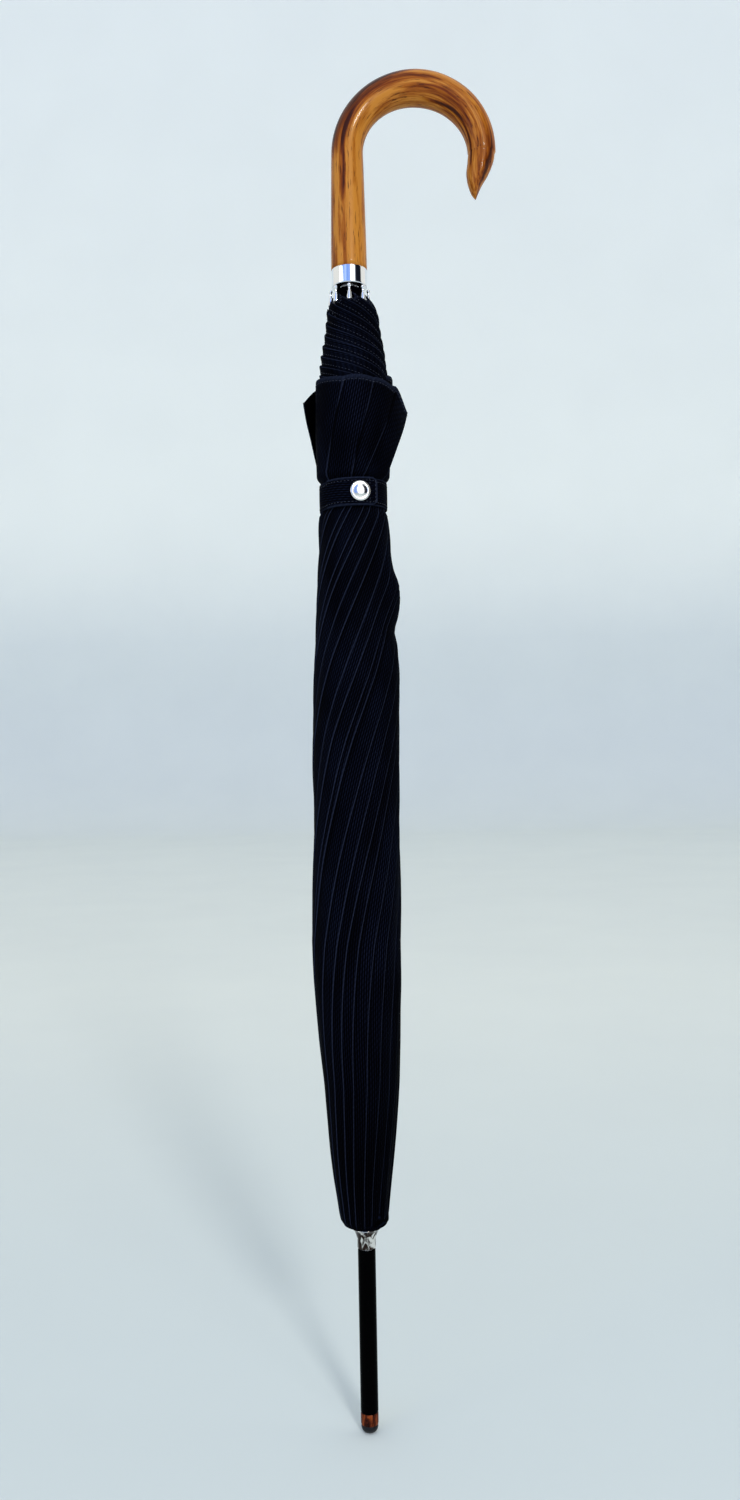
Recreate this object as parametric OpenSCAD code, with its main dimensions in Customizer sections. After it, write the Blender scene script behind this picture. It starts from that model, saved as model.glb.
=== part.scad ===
// Stick umbrella, furled and strapped. The ferrule's tip is at the origin, the stick is +Z and the crook
// opens towards +X. Every rib, stretcher and gore is drawn in the XZ plane and turned to its place.

/* [Stick] */
// Outside diameter of the steel shaft
shaft_d = 10; // [9.6:0.1:10.4]
// Wall of the shaft tube
shaft_wall = 0.7; // [0.5:0.1:0.8]
// Height of the handle's foot, where the shaft goes into the wood
handle_z = 772; // [770:1:780]

/* [Ferrule] */
// Diameter of the ferrule rod
ferrule_d = 11; // [10.8:0.1:11.4]
// Height of the rounded metal tip
tip_h = 5.3; // [4:0.1:6]
// Height of the coloured band above the tip
band_h = 8; // [5:0.5:10]
// Height of the lower edge of the open cap
cap_z = 122.5; // [116:0.5:123]
// Diameter of the open cap's flared rim
cap_d = 20.6; // [18:0.2:22]

/* [Handle] */
// Radius of the crook, measured to the middle of the wood
crook_r = 43.5; // [38:0.5:50]
// Height of the crook's centre
crook_z = 850; // [840:1:860]
// Diameter of the wood in the crook
wood_d = 21.4; // [19:0.2:22.4]
// Diameter of the wood at the handle's foot
foot_d = 23.2; // [22.6:0.2:24]
// Height of the chrome collar
collar_h = 12; // [10:0.5:16]

/* [Frame] */
// Height of the rib hinges in the notch
notch_z = 143.5; // [142:0.5:144]
// Distance of the rib hinges from the axis
notch_r = 8; // [7.8:0.1:8.2]
// Distance from the rib hinge to the stretcher rivet, along the rib
rivet_up = 285; // [270:1:290]
// Distance from the rib hinge to the runner's wire, along the stick, when furled
runner_up = 568; // [550:1:570]
// Distance of the runner's wire from the axis
runner_wire_r = 9; // [8.9:0.1:9.1]
// Angle that the ribs open to, from the stick
open_angle = 75; // [60:1:78]
// Distance from the axis to the open side of the rib channels
rib_in = 11; // [10.9:0.1:11.2]
// Radial depth of a rib channel
rib_deep = 3; // [2.8:0.1:3.1]
// Width of a rib channel
rib_wide = 3.4; // [3.2:0.1:3.8]
// Height of the ends of the rib channels
rib_top = 748; // [747.8:0.1:749]

/* [Canopy and strap] */
// Distance from the axis to the inside of the furled cloth
cloth_in = 14.9; // [14.9:0.1:15.1]
// Height where the furled gores begin
cloth_z = 155; // [155:0.5:157]
// Height of the middle of the tie strap
strap_z = 620; // [618:1:626]
// Width of the tie strap
strap_h = 17.2; // [16:0.2:20]
// Diameter of the press stud's cap
snap_d = 13.2; // [12:0.2:14]

/* [Hidden] */
$fn = 64;

ribs = 8;
sector = 360 / ribs;
first_az = -90;         // the first rib faces -Y
catch_az = first_az + sector / 2;
snap_az = first_az + 11;
press = 0.04;           // radial play of pieces that are fixed in each other
running = 0.08;         // radial play of pieces that turn or slide
gap = 0.3;              // between pieces that only pass each other
eps = 0.01;

shaft_r = shaft_d / 2;
shaft_in = shaft_r - shaft_wall;
shaft_foot = cap_z - 18;
shaft_top = handle_z + 31;
ferrule_r = ferrule_d / 2;
ferrule_z = tip_h + band_h;
ferrule_top = cap_z - 0.7;
stem_r = 2.6;
cap_top = cap_z + 14;
cap_neck_r = ferrule_r + 0.7;
crown_floor = 1.5;      // the washer's thickness under the notch
wood_r = wood_d / 2;
foot_r = foot_d / 2;
spigot_r = foot_r - 0.7;
collar_r = foot_r + 0.1;

link_t = 1.6;           // thickness of rib ends and stretchers
slot_w = link_t + 2 * gap;
wire_r = 0.6;
runner_wire_t = 0.5;
rib_out = rib_in + rib_deep;
rib_mid = rib_in + rib_deep / 2;
rivet_r = 0.6;
rivet_x = rib_in + 1.3;
rivet_z = notch_z + rivet_up;
runner_z = notch_z + runner_up;

// The linkage closes at both ends of its travel: the open stretcher again ends at the runner's wire
rivet_dx = rivet_x - notch_r;
stretch_dx = runner_wire_r - rivet_x;
stretch_dz = runner_up - rivet_up;
reach = notch_r - runner_wire_r + rivet_dx * cos(open_angle) + rivet_up * sin(open_angle);
stretch_angle = asin(reach / norm([stretch_dx, stretch_dz])) - atan2(-stretch_dx, stretch_dz);
open_up = rivet_up * cos(open_angle) - rivet_dx * sin(open_angle)
        + stretch_dx * sin(stretch_angle) + stretch_dz * cos(stretch_angle);
travel = runner_up - open_up;

runner_foot = -6;       // the runner's two ends, from its wire
runner_tail = 31;
flange_r = rib_in - 0.4;
tail_r = 6.5;
lever = 24;             // from a catch's pin to its shoulder
lever_x = 0.3;
nose_r = 7.6;
nose_l = 9;
catch_pin_r = 0.8;
bottom_shoulder = runner_z + runner_tail - 6;
top_shoulder = runner_z - travel + runner_tail + gap;
stop_z = runner_z - travel + runner_foot - 1.1;
strap_in = 21.5;
strap_t = 1;
tab_in = strap_in + 2.8;
tab_t = 0.9;
tab_from = first_az - 45;
tab_to = first_az + 40;

// Outside of the furled cloth: [distance from the axis, height]
cloth_outline = [
    [16.9, cloth_z], [18.6, 168], [23.6, 221], [26, 247], [28, 287], [29, 330], [29.2, 400],
    [28.6, 460], [27, 520], [25.4, 570], [23, 598], [21.2, 608], [21.2, 636], [25.4, 646],
    [29.5, 660], [32.5, 674], [31.5, 684], [26, 694], [22, 702], [20.3, 718], [17.6, 734], [16, 747]
];

module turned(i) {
    rotate([0, 0, first_az + (i - 1) * sector]) children();
}

// A plate in the XZ plane, t thick, with its middle on it
module plate(t) {
    rotate([90, 0, 0]) translate([0, 0, -t / 2]) linear_extrude(t) children();
}

// A round bar along Y through (x, z)
module cross_bar(x, z, r, l) {
    translate([x, 0, z]) rotate([90, 0, 0]) cylinder(r = r, h = l, center = true);
}

module ring(r, z, t) {
    translate([0, 0, z]) rotate_extrude() translate([r, 0]) circle(r = t);
}

module tube(r, bore, from, to) {
    translate([0, 0, from]) difference() {
        cylinder(r = r, h = to - from);
        translate([0, 0, -1]) cylinder(r = bore, h = to - from + 2);
    }
}

// ---- stick ----

module ferrule_tip() {
    color("dimgray") union() {
        rotate_extrude() button_section(ferrule_r - 0.1, tip_h);
        translate([0, 0, tip_h - eps]) cylinder(r = stem_r - press, h = band_h + 10);
    }
}

// Half section of a round-edged button that stands on a small flat
module button_section(r, h) {
    edge = min(3, h - 1);
    union() {
        translate([0, edge]) square([r, h - edge]);
        square([r - edge, h]);
        intersection() {
            translate([r - edge, edge]) circle(r = edge);
            square([r, edge + eps]);
        }
    }
}

module ferrule_band() {
    color("sienna") tube(ferrule_r, stem_r, tip_h, ferrule_z);
}

module ferrule() {
    color("black") difference() {
        translate([0, 0, ferrule_z]) cylinder(r = ferrule_r, h = ferrule_top - ferrule_z);
        translate([0, 0, ferrule_z - 1]) cylinder(r = stem_r, h = 12);
        translate([0, 0, shaft_foot - 0.5]) cylinder(r = shaft_r + press, h = ferrule_top);
    }
}

module open_cap() {
    flare = cap_d / 2 - cap_neck_r;
    rise = cap_top - cap_z - 6;
    sweep_r = (flare * flare + rise * rise) / (2 * flare);
    color("silver") rotate_extrude($fn = 96) difference() {
        translate([shaft_r + press, cap_z]) square([cap_d / 2 - shaft_r - press, cap_top - cap_z]);
        translate([cap_neck_r, cap_z - 1]) square([cap_d, 5.5]);
        translate([cap_neck_r + sweep_r, cap_z + 4.5]) circle(r = sweep_r, $fn = 96);
    }
}

module catch_slot(from, to) {
    rotate([0, 0, catch_az]) translate([0, -slot_w / 2, from]) cube([shaft_d, slot_w, to - from]);
}

module shaft() {
    color("silver") difference() {
        tube(shaft_r, shaft_in, shaft_foot, shaft_top);
        catch_slot(bottom_shoulder - nose_l - 2, bottom_shoulder + 1);
        catch_slot(top_shoulder - 1, top_shoulder + nose_l + 2);
        cross_bar(0, stop_z, 1 + press, 20);
        rotate([0, 0, catch_az]) catch_pin_bars(catch_pin_r + press, 20);
    }
}

module collar() {
    color("silver") difference() {
        translate([0, 0, handle_z - collar_h]) cylinder(r = collar_r, h = collar_h);
        translate([0, 0, handle_z - collar_h + 1.5]) cylinder(r = spigot_r + press, h = collar_h);
        translate([0, 0, handle_z - collar_h - 1]) cylinder(r = shaft_r + press, h = 4);
    }
}

module handle() {
    color("peru") difference() {
        union() {
            translate([0, 0, handle_z - collar_h + 1.5 + press])
                cylinder(r = spigot_r, h = collar_h);
            translate([0, 0, handle_z])
                cylinder(r1 = foot_r, r2 = wood_r, h = crook_z - handle_z);
            translate([crook_r, 0, crook_z]) rotate([90, 0, 0])
                rotate_extrude(angle = 180, $fn = 128) translate([crook_r, 0]) circle(r = wood_r);
            crook_nose();
        }
        translate([0, 0, handle_z - collar_h]) cylinder(r = shaft_r + press, h = shaft_top - handle_z + collar_h);
    }
}

// The end of the crook, cut back on its outside to a beak
module crook_nose() {
    drop = 32;
    lean = 19;
    difference() {
        translate([2 * crook_r, 0, crook_z - drop]) cylinder(r = wood_r, h = drop);
        translate([2 * crook_r + wood_r, 0, crook_z]) rotate([0, lean, 0])
            translate([0, -30, -60]) cube([60, 60, 60]);
        translate([2 * crook_r - wood_r, 0, crook_z - drop]) rotate([0, -38, 0])
            translate([-60, -30, -60]) cube([60, 60, 64]);
    }
}

// ---- frame ----

module notch() {
    half = 3;
    foot = cap_top + crown_floor + 0.2;
    color("dimgray") difference() {
        union() {
            translate([0, 0, notch_z - half]) cylinder(r = notch_r + 1.8, h = 2 * half);
            translate([0, 0, foot]) cylinder(r = notch_r - 1.6, h = notch_z + 6 - foot);
        }
        translate([0, 0, notch_z - 7]) cylinder(r = shaft_r + press, h = 14);
        for (i = [1:ribs]) turned(i)
            translate([notch_r - 2, -slot_w / 2, notch_z - half - 1]) cube([5, slot_w, 2 * half + 2]);
        tube(notch_r + 3, notch_r - wire_r - 0.15, notch_z - wire_r - 0.12, notch_z + wire_r + 0.12);
    }
}

module notch_wire() {
    color("silver") ring(notch_r, notch_z, wire_r);
}

module stop_pin() {
    color("silver") cross_bar(0, stop_z, 1, 2 * shaft_r + 2.6);
}

module catch_pin_bars(r, l) {
    cross_bar(lever_x, bottom_shoulder - lever, r, l);
    cross_bar(lever_x, top_shoulder + lever, r, l);
}

module catch_pins() {
    color("silver") rotate([0, 0, catch_az]) catch_pin_bars(catch_pin_r, 2 * shaft_r - 0.4);
}

// Pierced cloth washer and gathered centre of the canopy
module canopy_crown() {
    crown_r = 14;
    crown_h = 3.8;
    color("darkslategray") rotate_extrude() difference() {
        translate([shaft_r + press, cap_top]) square([crown_r - shaft_r - press, crown_h]);
        translate([0, cap_top + crown_floor]) square([crown_r - 1.2, crown_h]);
    }
}

module runner() {
    half = 4;
    color("dimgray") translate([0, 0, runner_z]) difference() {
        union() {
            translate([0, 0, runner_foot]) cylinder(r = tail_r, h = runner_tail - runner_foot);
            translate([0, 0, -half]) cylinder(r = flange_r, h = 2 * half);
            translate([0, 0, runner_tail - 3]) cylinder(r = tail_r + 0.5, h = 3);
        }
        translate([0, 0, runner_foot - 1]) cylinder(r = shaft_r + running, h = runner_tail - runner_foot + 2);
        for (i = [1:ribs]) turned(i)
            translate([runner_wire_r - 1.8, -slot_w / 2, -half - 1]) cube([6, slot_w, 2 * half + 2]);
        tube(flange_r + 3, runner_wire_r - runner_wire_t - 0.15,
             -runner_wire_t - 0.12, runner_wire_t + 0.12);
        rotate([0, 0, catch_az])
            translate([0, -link_t, bottom_shoulder - runner_z - nose_l - 3])
                cube([20, 2 * link_t, nose_l + 4]);
    }
}

module runner_wire() {
    color("silver") ring(runner_wire_r, runner_z, runner_wire_t);
}

// Sprung lever inside the shaft. Its shoulder is at the height 0, its pin at -lever
module catch_lever() {
    back = lever_x - 1.2;
    front = lever_x + 1.2;
    difference() {
        union() {
            plate(link_t) polygon([
                [back, -lever], [front, -lever], [front, -nose_l], [nose_r, -3], [nose_r, 0], [back, 0]
            ]);
            cross_bar(lever_x, -lever, 2, link_t);
        }
        cross_bar(lever_x, -lever, catch_pin_r + running, 10);
    }
}

module bottom_catch() {
    color("silver") translate([0, 0, bottom_shoulder]) rotate([0, 0, catch_az]) catch_lever();
}

module top_catch() {
    color("silver") translate([0, 0, top_shoulder]) rotate([0, 0, catch_az]) mirror([0, 0, 1]) catch_lever();
}

// U channel that opens towards the stick, with its hinge eye, its stretcher rivet and a pin for the tip
module rib(i) {
    foot = notch_z + 8;
    pin_h = 5;
    color("black") turned(i) {
        difference() {
            union() {
                rib_channel(foot);
                plate(link_t) polygon([
                    [notch_r - 1.3, notch_z], [notch_r + 1.3, notch_z],
                    [rib_out, foot + 1], [rib_out, foot + 6], [rib_in, foot + 6], [rib_in, foot + 1]
                ]);
                cross_bar(notch_r, notch_z, 1.5, link_t);
                translate([rib_mid, 0, rib_top - eps]) cylinder(r = 0.9, h = pin_h);
            }
            cross_bar(notch_r, notch_z, wire_r + running, 10);
            cross_bar(rivet_x, rivet_z, rivet_r + press, 10);
        }
        rivet();
    }
}

module rib_channel(foot) {
    back = 0.4;
    plug = 8;
    difference() {
        translate([rib_in, -rib_wide / 2, foot]) cube([rib_deep, rib_wide, rib_top - foot]);
        translate([rib_in - 1, -slot_w / 2, foot - 1])
            cube([rib_deep + 1 - back, slot_w, rib_top - foot + 1 - plug]);
    }
}

module rivet() {
    head = 0.4;
    stand = rib_wide / 2 + 0.05;
    cross_bar(rivet_x, rivet_z, rivet_r, 2 * stand + head);
    for (s = [-1, 1]) translate([rivet_x, s * (stand + head / 2), rivet_z])
        rotate([90, 0, 0]) cylinder(r = 1.1, h = head, center = true);
}

module rib_tip(i) {
    ball_r = 1.4;
    color("silver") turned(i) translate([rib_mid, 0, rib_top + 0.05]) difference() {
        union() {
            cylinder(r1 = 2.3, r2 = 1.9, h = 2.5);
            translate([0, 0, 2.5 - eps]) cylinder(r1 = 1.9, r2 = 0.95, h = 5);
            translate([0, 0, 7.4]) cylinder(r = 0.95, h = 1.5);
            translate([0, 0, 9.4]) sphere(r = ball_r);
        }
        translate([0, 0, -1]) cylinder(r = 0.9 + press, h = 6.1);
    }
}

module stretcher(i) {
    long = norm([stretch_dx, stretch_dz]);
    color("black") turned(i) difference() {
        union() {
            translate([rivet_x, 0, rivet_z]) rotate([0, atan2(stretch_dx, stretch_dz), 0])
                translate([-1, -link_t / 2, 0]) cube([2, link_t, long]);
            cross_bar(rivet_x, rivet_z, 1.1, link_t);
            cross_bar(runner_wire_r, runner_z, 1.4, link_t);
        }
        cross_bar(rivet_x, rivet_z, rivet_r + running, 10);
        cross_bar(runner_wire_r, runner_z, runner_wire_t + running + 0.02, 10);
    }
}

// ---- canopy and strap ----

// One gore's share of the furled cloth, from one rib to the next. It is relieved inside its lower end, where
// it turns against the rib
module canopy_gore(i) {
    seam = 1.5;
    last = len(cloth_outline) - 1;
    inside = [[cloth_in, cloth_outline[last][1]], [cloth_in, cloth_z + 20], [cloth_in + 0.8, cloth_z]];
    color("darkslategray") turned(i) rotate([0, 0, seam]) rotate_extrude(angle = sector - 2 * seam, $fn = 96)
        polygon(concat(cloth_outline, inside));
}

// Part of a band round the bundle, from one azimuth to another
module band(r, t, h, from, to) {
    rotate([0, 0, from]) translate([0, 0, strap_z - h / 2]) rotate_extrude(angle = to - from, $fn = 96)
        translate([r, 0]) square([t, h]);
}

// A round bar along a radius of the bundle at the snap's azimuth
module snap_bar(r, from, to) {
    rotate([0, 0, snap_az]) translate([from, 0, strap_z]) rotate([0, 90, 0]) cylinder(r = r, h = to - from);
}

module strap() {
    color("darkslategray") difference() {
        union() {
            tube(strap_in + strap_t, strap_in, strap_z - strap_h / 2, strap_z + strap_h / 2);
            band(strap_in + strap_t / 2, tab_in + tab_t - strap_in - strap_t / 2, strap_h - 2,
                 tab_from - 3, tab_from - 1);
        }
        snap_bar(2 + press, strap_in - 5, strap_in + 10);
    }
}

module strap_tab() {
    color("darkslategray") difference() {
        band(tab_in, tab_t, strap_h - 1, tab_from, tab_to);
        snap_bar(2 + 2 * press, tab_in - 5, tab_in + 10);
    }
}

module snap_stud() {
    seat = strap_in + strap_t + 0.1;
    color("silver") union() {
        snap_bar(2, strap_in - 0.2, seat + eps);
        snap_bar(4, seat, seat + 0.5);
        snap_bar(1.5, seat, seat + 2);
    }
}

// Cap, neck and socket of the press stud, turned about a radius of the bundle
module snap_cap() {
    color("silver") rotate([0, 0, snap_az]) translate([0, 0, strap_z]) rotate([0, 90, 0])
        rotate_extrude() snap_section();
}

module snap_section() {
    foot = tab_in - 1;
    seat = tab_in + tab_t + 0.05;
    bore = 1.5 + running;
    cap_r = snap_d / 2;
    rim = 0.7;
    dome_r = cap_r - 0.3;
    dome = 1.4;
    ball = (dome_r * dome_r + dome * dome) / (2 * dome);
    difference() {
        union() {
            translate([0, foot]) square([4, 0.6]);
            translate([0, foot]) square([2, seat - foot + rim / 2]);
            translate([0, seat]) square([cap_r, rim]);
            intersection() {
                translate([0, seat + rim + dome - ball]) circle(r = ball, $fn = 128);
                translate([0, seat + rim / 2]) square([dome_r, dome + rim]);
            }
        }
        translate([0, foot - 1]) square([bore, seat - foot + 1.1]);
    }
}

ferrule_tip();
ferrule_band();
ferrule();
open_cap();
shaft();
collar();
handle();
notch();
notch_wire();
stop_pin();
catch_pins();
canopy_crown();
runner();
runner_wire();
bottom_catch();
top_catch();
for (i = [1:ribs]) {
    rib(i);
    rib_tip(i);
    stretcher(i);
    canopy_gore(i);
}
strap();
strap_tab();
snap_stud();
snap_cap();
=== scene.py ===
"""Stick umbrella, furled and strapped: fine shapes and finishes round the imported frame.

Sizes inside the builders are in millimetres, with the ferrule's tip at the origin and the stick along +Z.
"""

import math
import random

import bmesh
import bpy
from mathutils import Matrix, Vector, noise


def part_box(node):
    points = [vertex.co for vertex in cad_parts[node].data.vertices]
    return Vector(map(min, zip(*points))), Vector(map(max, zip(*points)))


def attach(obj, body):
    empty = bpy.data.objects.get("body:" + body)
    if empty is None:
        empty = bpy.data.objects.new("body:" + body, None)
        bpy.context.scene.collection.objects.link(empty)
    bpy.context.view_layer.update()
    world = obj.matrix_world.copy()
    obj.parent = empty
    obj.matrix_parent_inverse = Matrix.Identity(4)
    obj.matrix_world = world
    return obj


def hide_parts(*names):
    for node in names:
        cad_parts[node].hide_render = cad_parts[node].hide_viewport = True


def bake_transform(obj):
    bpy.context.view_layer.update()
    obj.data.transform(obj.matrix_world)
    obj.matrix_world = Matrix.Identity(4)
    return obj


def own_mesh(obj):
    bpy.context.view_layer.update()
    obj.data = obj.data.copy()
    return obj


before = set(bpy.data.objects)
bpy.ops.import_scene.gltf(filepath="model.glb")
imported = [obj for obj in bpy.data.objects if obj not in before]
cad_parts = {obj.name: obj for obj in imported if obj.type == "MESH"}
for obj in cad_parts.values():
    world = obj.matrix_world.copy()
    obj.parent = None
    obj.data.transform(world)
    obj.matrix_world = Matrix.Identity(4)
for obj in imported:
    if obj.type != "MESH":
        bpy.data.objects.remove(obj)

bl_info = {
    "name": "Stick umbrella",
    "version": (1, 0, 0),
    "blender": (4, 5, 0),
    "location": "View3D > Sidebar > Umbrella",
    "description": "Builds the umbrella's handle, fittings, furled cloth, gores, strap and stage",
    "category": "Object",
}

MM = 0.001
RIBS = 8
SECTOR = 2 * math.pi / RIBS
FIRST_AZ = -math.pi / 2
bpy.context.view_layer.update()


def node_mm(node):
    """Lowest and highest corner of a CAD node in millimetres."""
    low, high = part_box(node)
    return low / MM, high / MM


# ---------------------------------------------------------------- shader arithmetic


class Wire:
    """One output socket, or a number, with the arithmetic that a finish needs."""

    def __init__(self, finish, source):
        self.finish = finish
        self.source = source

    def _math(self, operation, *values, clamp=False):
        return self.finish.node("ShaderNodeMath", {"operation": operation, "use_clamp": clamp}, *values)

    def __add__(self, other):
        return self._math("ADD", self, other)

    __radd__ = __add__

    def __sub__(self, other):
        return self._math("SUBTRACT", self, other)

    def __rsub__(self, other):
        return self._math("SUBTRACT", other, self)

    def __mul__(self, other):
        return self._math("MULTIPLY", self, other)

    __rmul__ = __mul__

    def __truediv__(self, other):
        return self._math("DIVIDE", self, other)

    def __pow__(self, other):
        return self._math("POWER", self, other)

    def sine(self):
        return self._math("SINE", self)

    def most(self, other):
        return self._math("MAXIMUM", self, other)

    def held(self):
        return self._math("ADD", self, 0.0, clamp=True)

    def span(self, low, high, to_low=0.0, to_high=1.0):
        """This value's place between low and high, smoothly, as a number from to_low to to_high."""
        settings = {"interpolation_type": "SMOOTHSTEP", "clamp": True}
        return self.finish.node("ShaderNodeMapRange", settings, self, low, high, to_low, to_high)


class Finish:
    """A material or world, and the nodes in it."""

    def __init__(self, owner):
        owner.use_nodes = True
        self.owner = owner
        self.tree = owner.node_tree
        self.tree.nodes.clear()

    def node(self, kind, settings=None, *values, out=0, **named):
        """Adds a node: its settings first, then its sockets in order or by name. Returns one output."""
        made = self.tree.nodes.new(kind)
        for key, value in (settings or {}).items():
            if key == "stops":
                self._stops(made.color_ramp, value)
            else:
                setattr(made, key, value)
        for place, value in enumerate(values):
            self._feed(made.inputs[place], value)
        for key, value in named.items():
            self._feed(self._socket(made, key), value)
        return Wire(self, made.outputs[out]) if made.outputs else made

    @staticmethod
    def _socket(made, key):
        """The enabled input whose name is key, with spaces for its underscores."""
        wanted = key.replace("_", " ").lower()
        return next(s for s in made.inputs if s.enabled and s.name.lower() == wanted)

    @staticmethod
    def _stops(ramp, stops):
        while len(ramp.elements) < len(stops):
            ramp.elements.new(0.5)
        for element, (place, colour) in zip(ramp.elements, stops):
            element.position = place
            element.color = (*colour, 1.0)

    @property
    def shades(self):
        """The colours in the sidebar."""
        return bpy.context.scene.umbrella_finish

    def _feed(self, socket, value):
        if isinstance(value, Wire):
            self.tree.links.new(value.source, socket)
        elif hasattr(value, "__len__") and socket.type == "RGBA" and len(value) == 3:
            socket.default_value = (*value, 1.0)
        else:
            socket.default_value = value

    def mix(self, factor, first, second, how="MIX"):
        settings = {"data_type": "RGBA", "blend_type": how, "clamp_factor": True}
        return self.node("ShaderNodeMix", settings, out=2, Factor=factor, A=first, B=second)

    def place(self, stretch=(1, 1, 1), source="Object"):
        """Object coordinates in metres, or an attribute, stretched."""
        if source == "Object":
            coords = self.node("ShaderNodeTexCoord", out=3)
        else:
            coords = self.node("ShaderNodeAttribute", {"attribute_name": source}, out=1)
        return self.node("ShaderNodeMapping", None, Vector=coords, Scale=stretch)

    def grain(self, where, scale, detail=3.0, roughness=0.55, distortion=0.0):
        return self.node("ShaderNodeTexNoise", None, Vector=where, Scale=scale, Detail=detail,
                         Roughness=roughness, Distortion=distortion)

    def split(self, vector):
        made = self.node("ShaderNodeSeparateXYZ", None, vector)
        outputs = made.source.node.outputs
        return [Wire(self, outputs[k]) for k in range(3)]

    def bump(self, height, strength, depth):
        return self.node("ShaderNodeBump", None, Strength=strength, Distance=depth, Height=height)

    def surface(self, **sockets):
        shader = self.node("ShaderNodeBsdfPrincipled", None, **sockets)
        self.node("ShaderNodeOutputMaterial", None, shader)
        return self.owner


FINISHES = {}


def finish(name):
    """The material of that name, made once."""
    if name not in FINISHES:
        material = bpy.data.materials.new(name)
        FINISHES[name] = RECIPES[name](Finish(material))
    return FINISHES[name]


# ---------------------------------------------------------------- finishes


def shade(name, text, default):
    return bpy.props.FloatVectorProperty(name=name, description=text, default=default, min=0, max=1, size=3,
                                         subtype="COLOR")


class FinishSettings(bpy.types.PropertyGroup):
    """The umbrella's colours and the stage's, as linear values."""

    cloth_dark: shade("Cloth ground", "Hollows between the twill's ridges", (0.0002, 0.0002, 0.0006))
    cloth_light: shade("Cloth ridge", "Ridges of the twill", (0.0062, 0.0090, 0.0220))
    # Painted highlight along the edges of the folds and hems.
    cloth_edge_highlight: shade("Cloth edge", "Rubbed edges of the folds and hems", (0.0125, 0.0165, 0.0320))
    # Colour of the dark veins and of the darker patches on the bend.
    wood_streak: shade("Wood streak", "Singed wood and dark veins", (0.040, 0.009, 0.003))
    wood_red: shade("Wood red", "Darker grain", (0.155, 0.032, 0.004))
    wood_mid: shade("Wood middle", "Most of the grain", (0.300, 0.086, 0.008))
    wood_light: shade("Wood light", "Palest grain", (0.480, 0.186, 0.026))
    wood_pore: shade("Wood pore", "Fine pores", (0.040, 0.010, 0.004))
    ferrule: shade("Ferrule", "Gloss black of the rod", (0.0002, 0.0002, 0.0003))
    band_dark: shade("Band dark", "Dark swirls of the band", (0.010, 0.002, 0.001))
    band_red: shade("Band middle", "Red-brown of the band", (0.060, 0.010, 0.003))
    band_light: shade("Band light", "Orange swirls of the band", (0.26, 0.055, 0.012))
    floor: shade("Floor", "Floor close to the stick", (0.615, 0.675, 0.675))
    wall: shade("Wall", "Far floor and wall", (0.985, 0.985, 0.870))
    mottle: shade("Mottle", "Faint patches on the floor and wall", (0.480, 0.520, 0.540))


def cloth_recipe(f):
    """Blue-black twill. Each piece carries a weave map in metres, a mark for the painted highlight on its
    edges and a mark for the painted shade in its hollows.
    """
    across, along, _ = f.split(f.place(source="weave"))
    wear_and_glint = f.node("ShaderNodeAttribute", {"attribute_name": "edge"}, out=2)
    hollow = f.node("ShaderNodeAttribute", {"attribute_name": "hollow"}, out=2)
    line = (across * (2 * math.pi / 0.00155) - along * 230).sine() * 0.5 + 0.5
    dash = (along * (2 * math.pi / 0.0042) + across * 1700).sine() * 0.3 + 0.7
    weave = (line ** 2.2) * dash
    patch = f.grain(f.place((1, 1, 0.4)), 38.0, 2.0)
    # The hollow mark is painted shade: it darkens the weave under overlaps, in gaps and on hidden faces.
    lift = weave * patch.span(0.30, 0.66, 0.25, 1.0) * (1 - hollow * 0.92)
    ground = f.mix(lift, f.shades.cloth_dark, f.shades.cloth_light)
    # Painted highlight on the fold and hem edges, broken by the dashes of the weave.
    rub_and_glint = wear_and_glint.span(0.2, 1.0, 0.0, 1.0) * (0.65 + dash * 0.35)
    edge_highlit = f.mix(rub_and_glint, ground, f.shades.cloth_edge_highlight)
    slub = f.grain(f.place((1, 1, 0.3)), 2600.0, 2.0)
    height = weave * 0.7 + slub * 0.3
    return f.surface(Base_Color=edge_highlit, Roughness=0.62 + patch * 0.16 - weave * 0.08,
                     Specular_IOR_Level=0.006, Normal=f.bump(height, 0.55, 0.00012))


def thread_recipe(f):
    twist = f.grain(f.place(), 4200.0, 1.0)
    colour = f.mix(twist, (0.006, 0.008, 0.016), (0.030, 0.036, 0.058))
    return f.surface(Base_Color=colour, Roughness=0.5 + twist * 0.2, Specular_IOR_Level=0.3)


def wood_recipe(f):
    """Lacquered crook: the grain runs along the bent stick, with dark streaks, pores and darker patches on
    the bend.
    """
    x, y, z = f.split(f.place(source="grain"))
    run = f.node("ShaderNodeCombineXYZ", None, x, y, z * 0.10)
    wander = f.grain(run, 46.0, 2.0) - 0.5
    broad = f.grain(run, 210.0, 4.0, 0.6, 0.5) - 0.5
    fine = f.grain(f.node("ShaderNodeCombineXYZ", None, x, y, z * 0.045), 640.0, 3.0, 0.6) - 0.5
    pores = f.grain(f.node("ShaderNodeCombineXYZ", None, x, y, z * 0.085), 1500.0, 2.0, 0.5)
    singe = f.node("ShaderNodeAttribute", {"attribute_name": "singe"}, out=2)
    tone = (broad * 1.15 + fine * 0.75 + wander * 0.9 + 0.60 - singe * 0.46).held()
    shades = f.shades
    stops = [(0.14, shades.wood_streak), (0.36, shades.wood_red), (0.52, shades.wood_mid),
             (0.72, shades.wood_light)]
    body = f.node("ShaderNodeValToRGB", {"stops": stops}, tone)
    pore = pores.span(0.57, 0.67) * fine.span(0.08, -0.06)
    figure = f.mix(pore * 0.85, body, shades.wood_pore)
    height = pore * -0.6 + fine * 0.2
    return f.surface(Base_Color=figure, Roughness=0.30 + fine * 0.22, Specular_IOR_Level=0.04,
                     Coat_Weight=0.17, Coat_Roughness=0.08, Normal=f.bump(height, 0.35, 0.0002))


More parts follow.
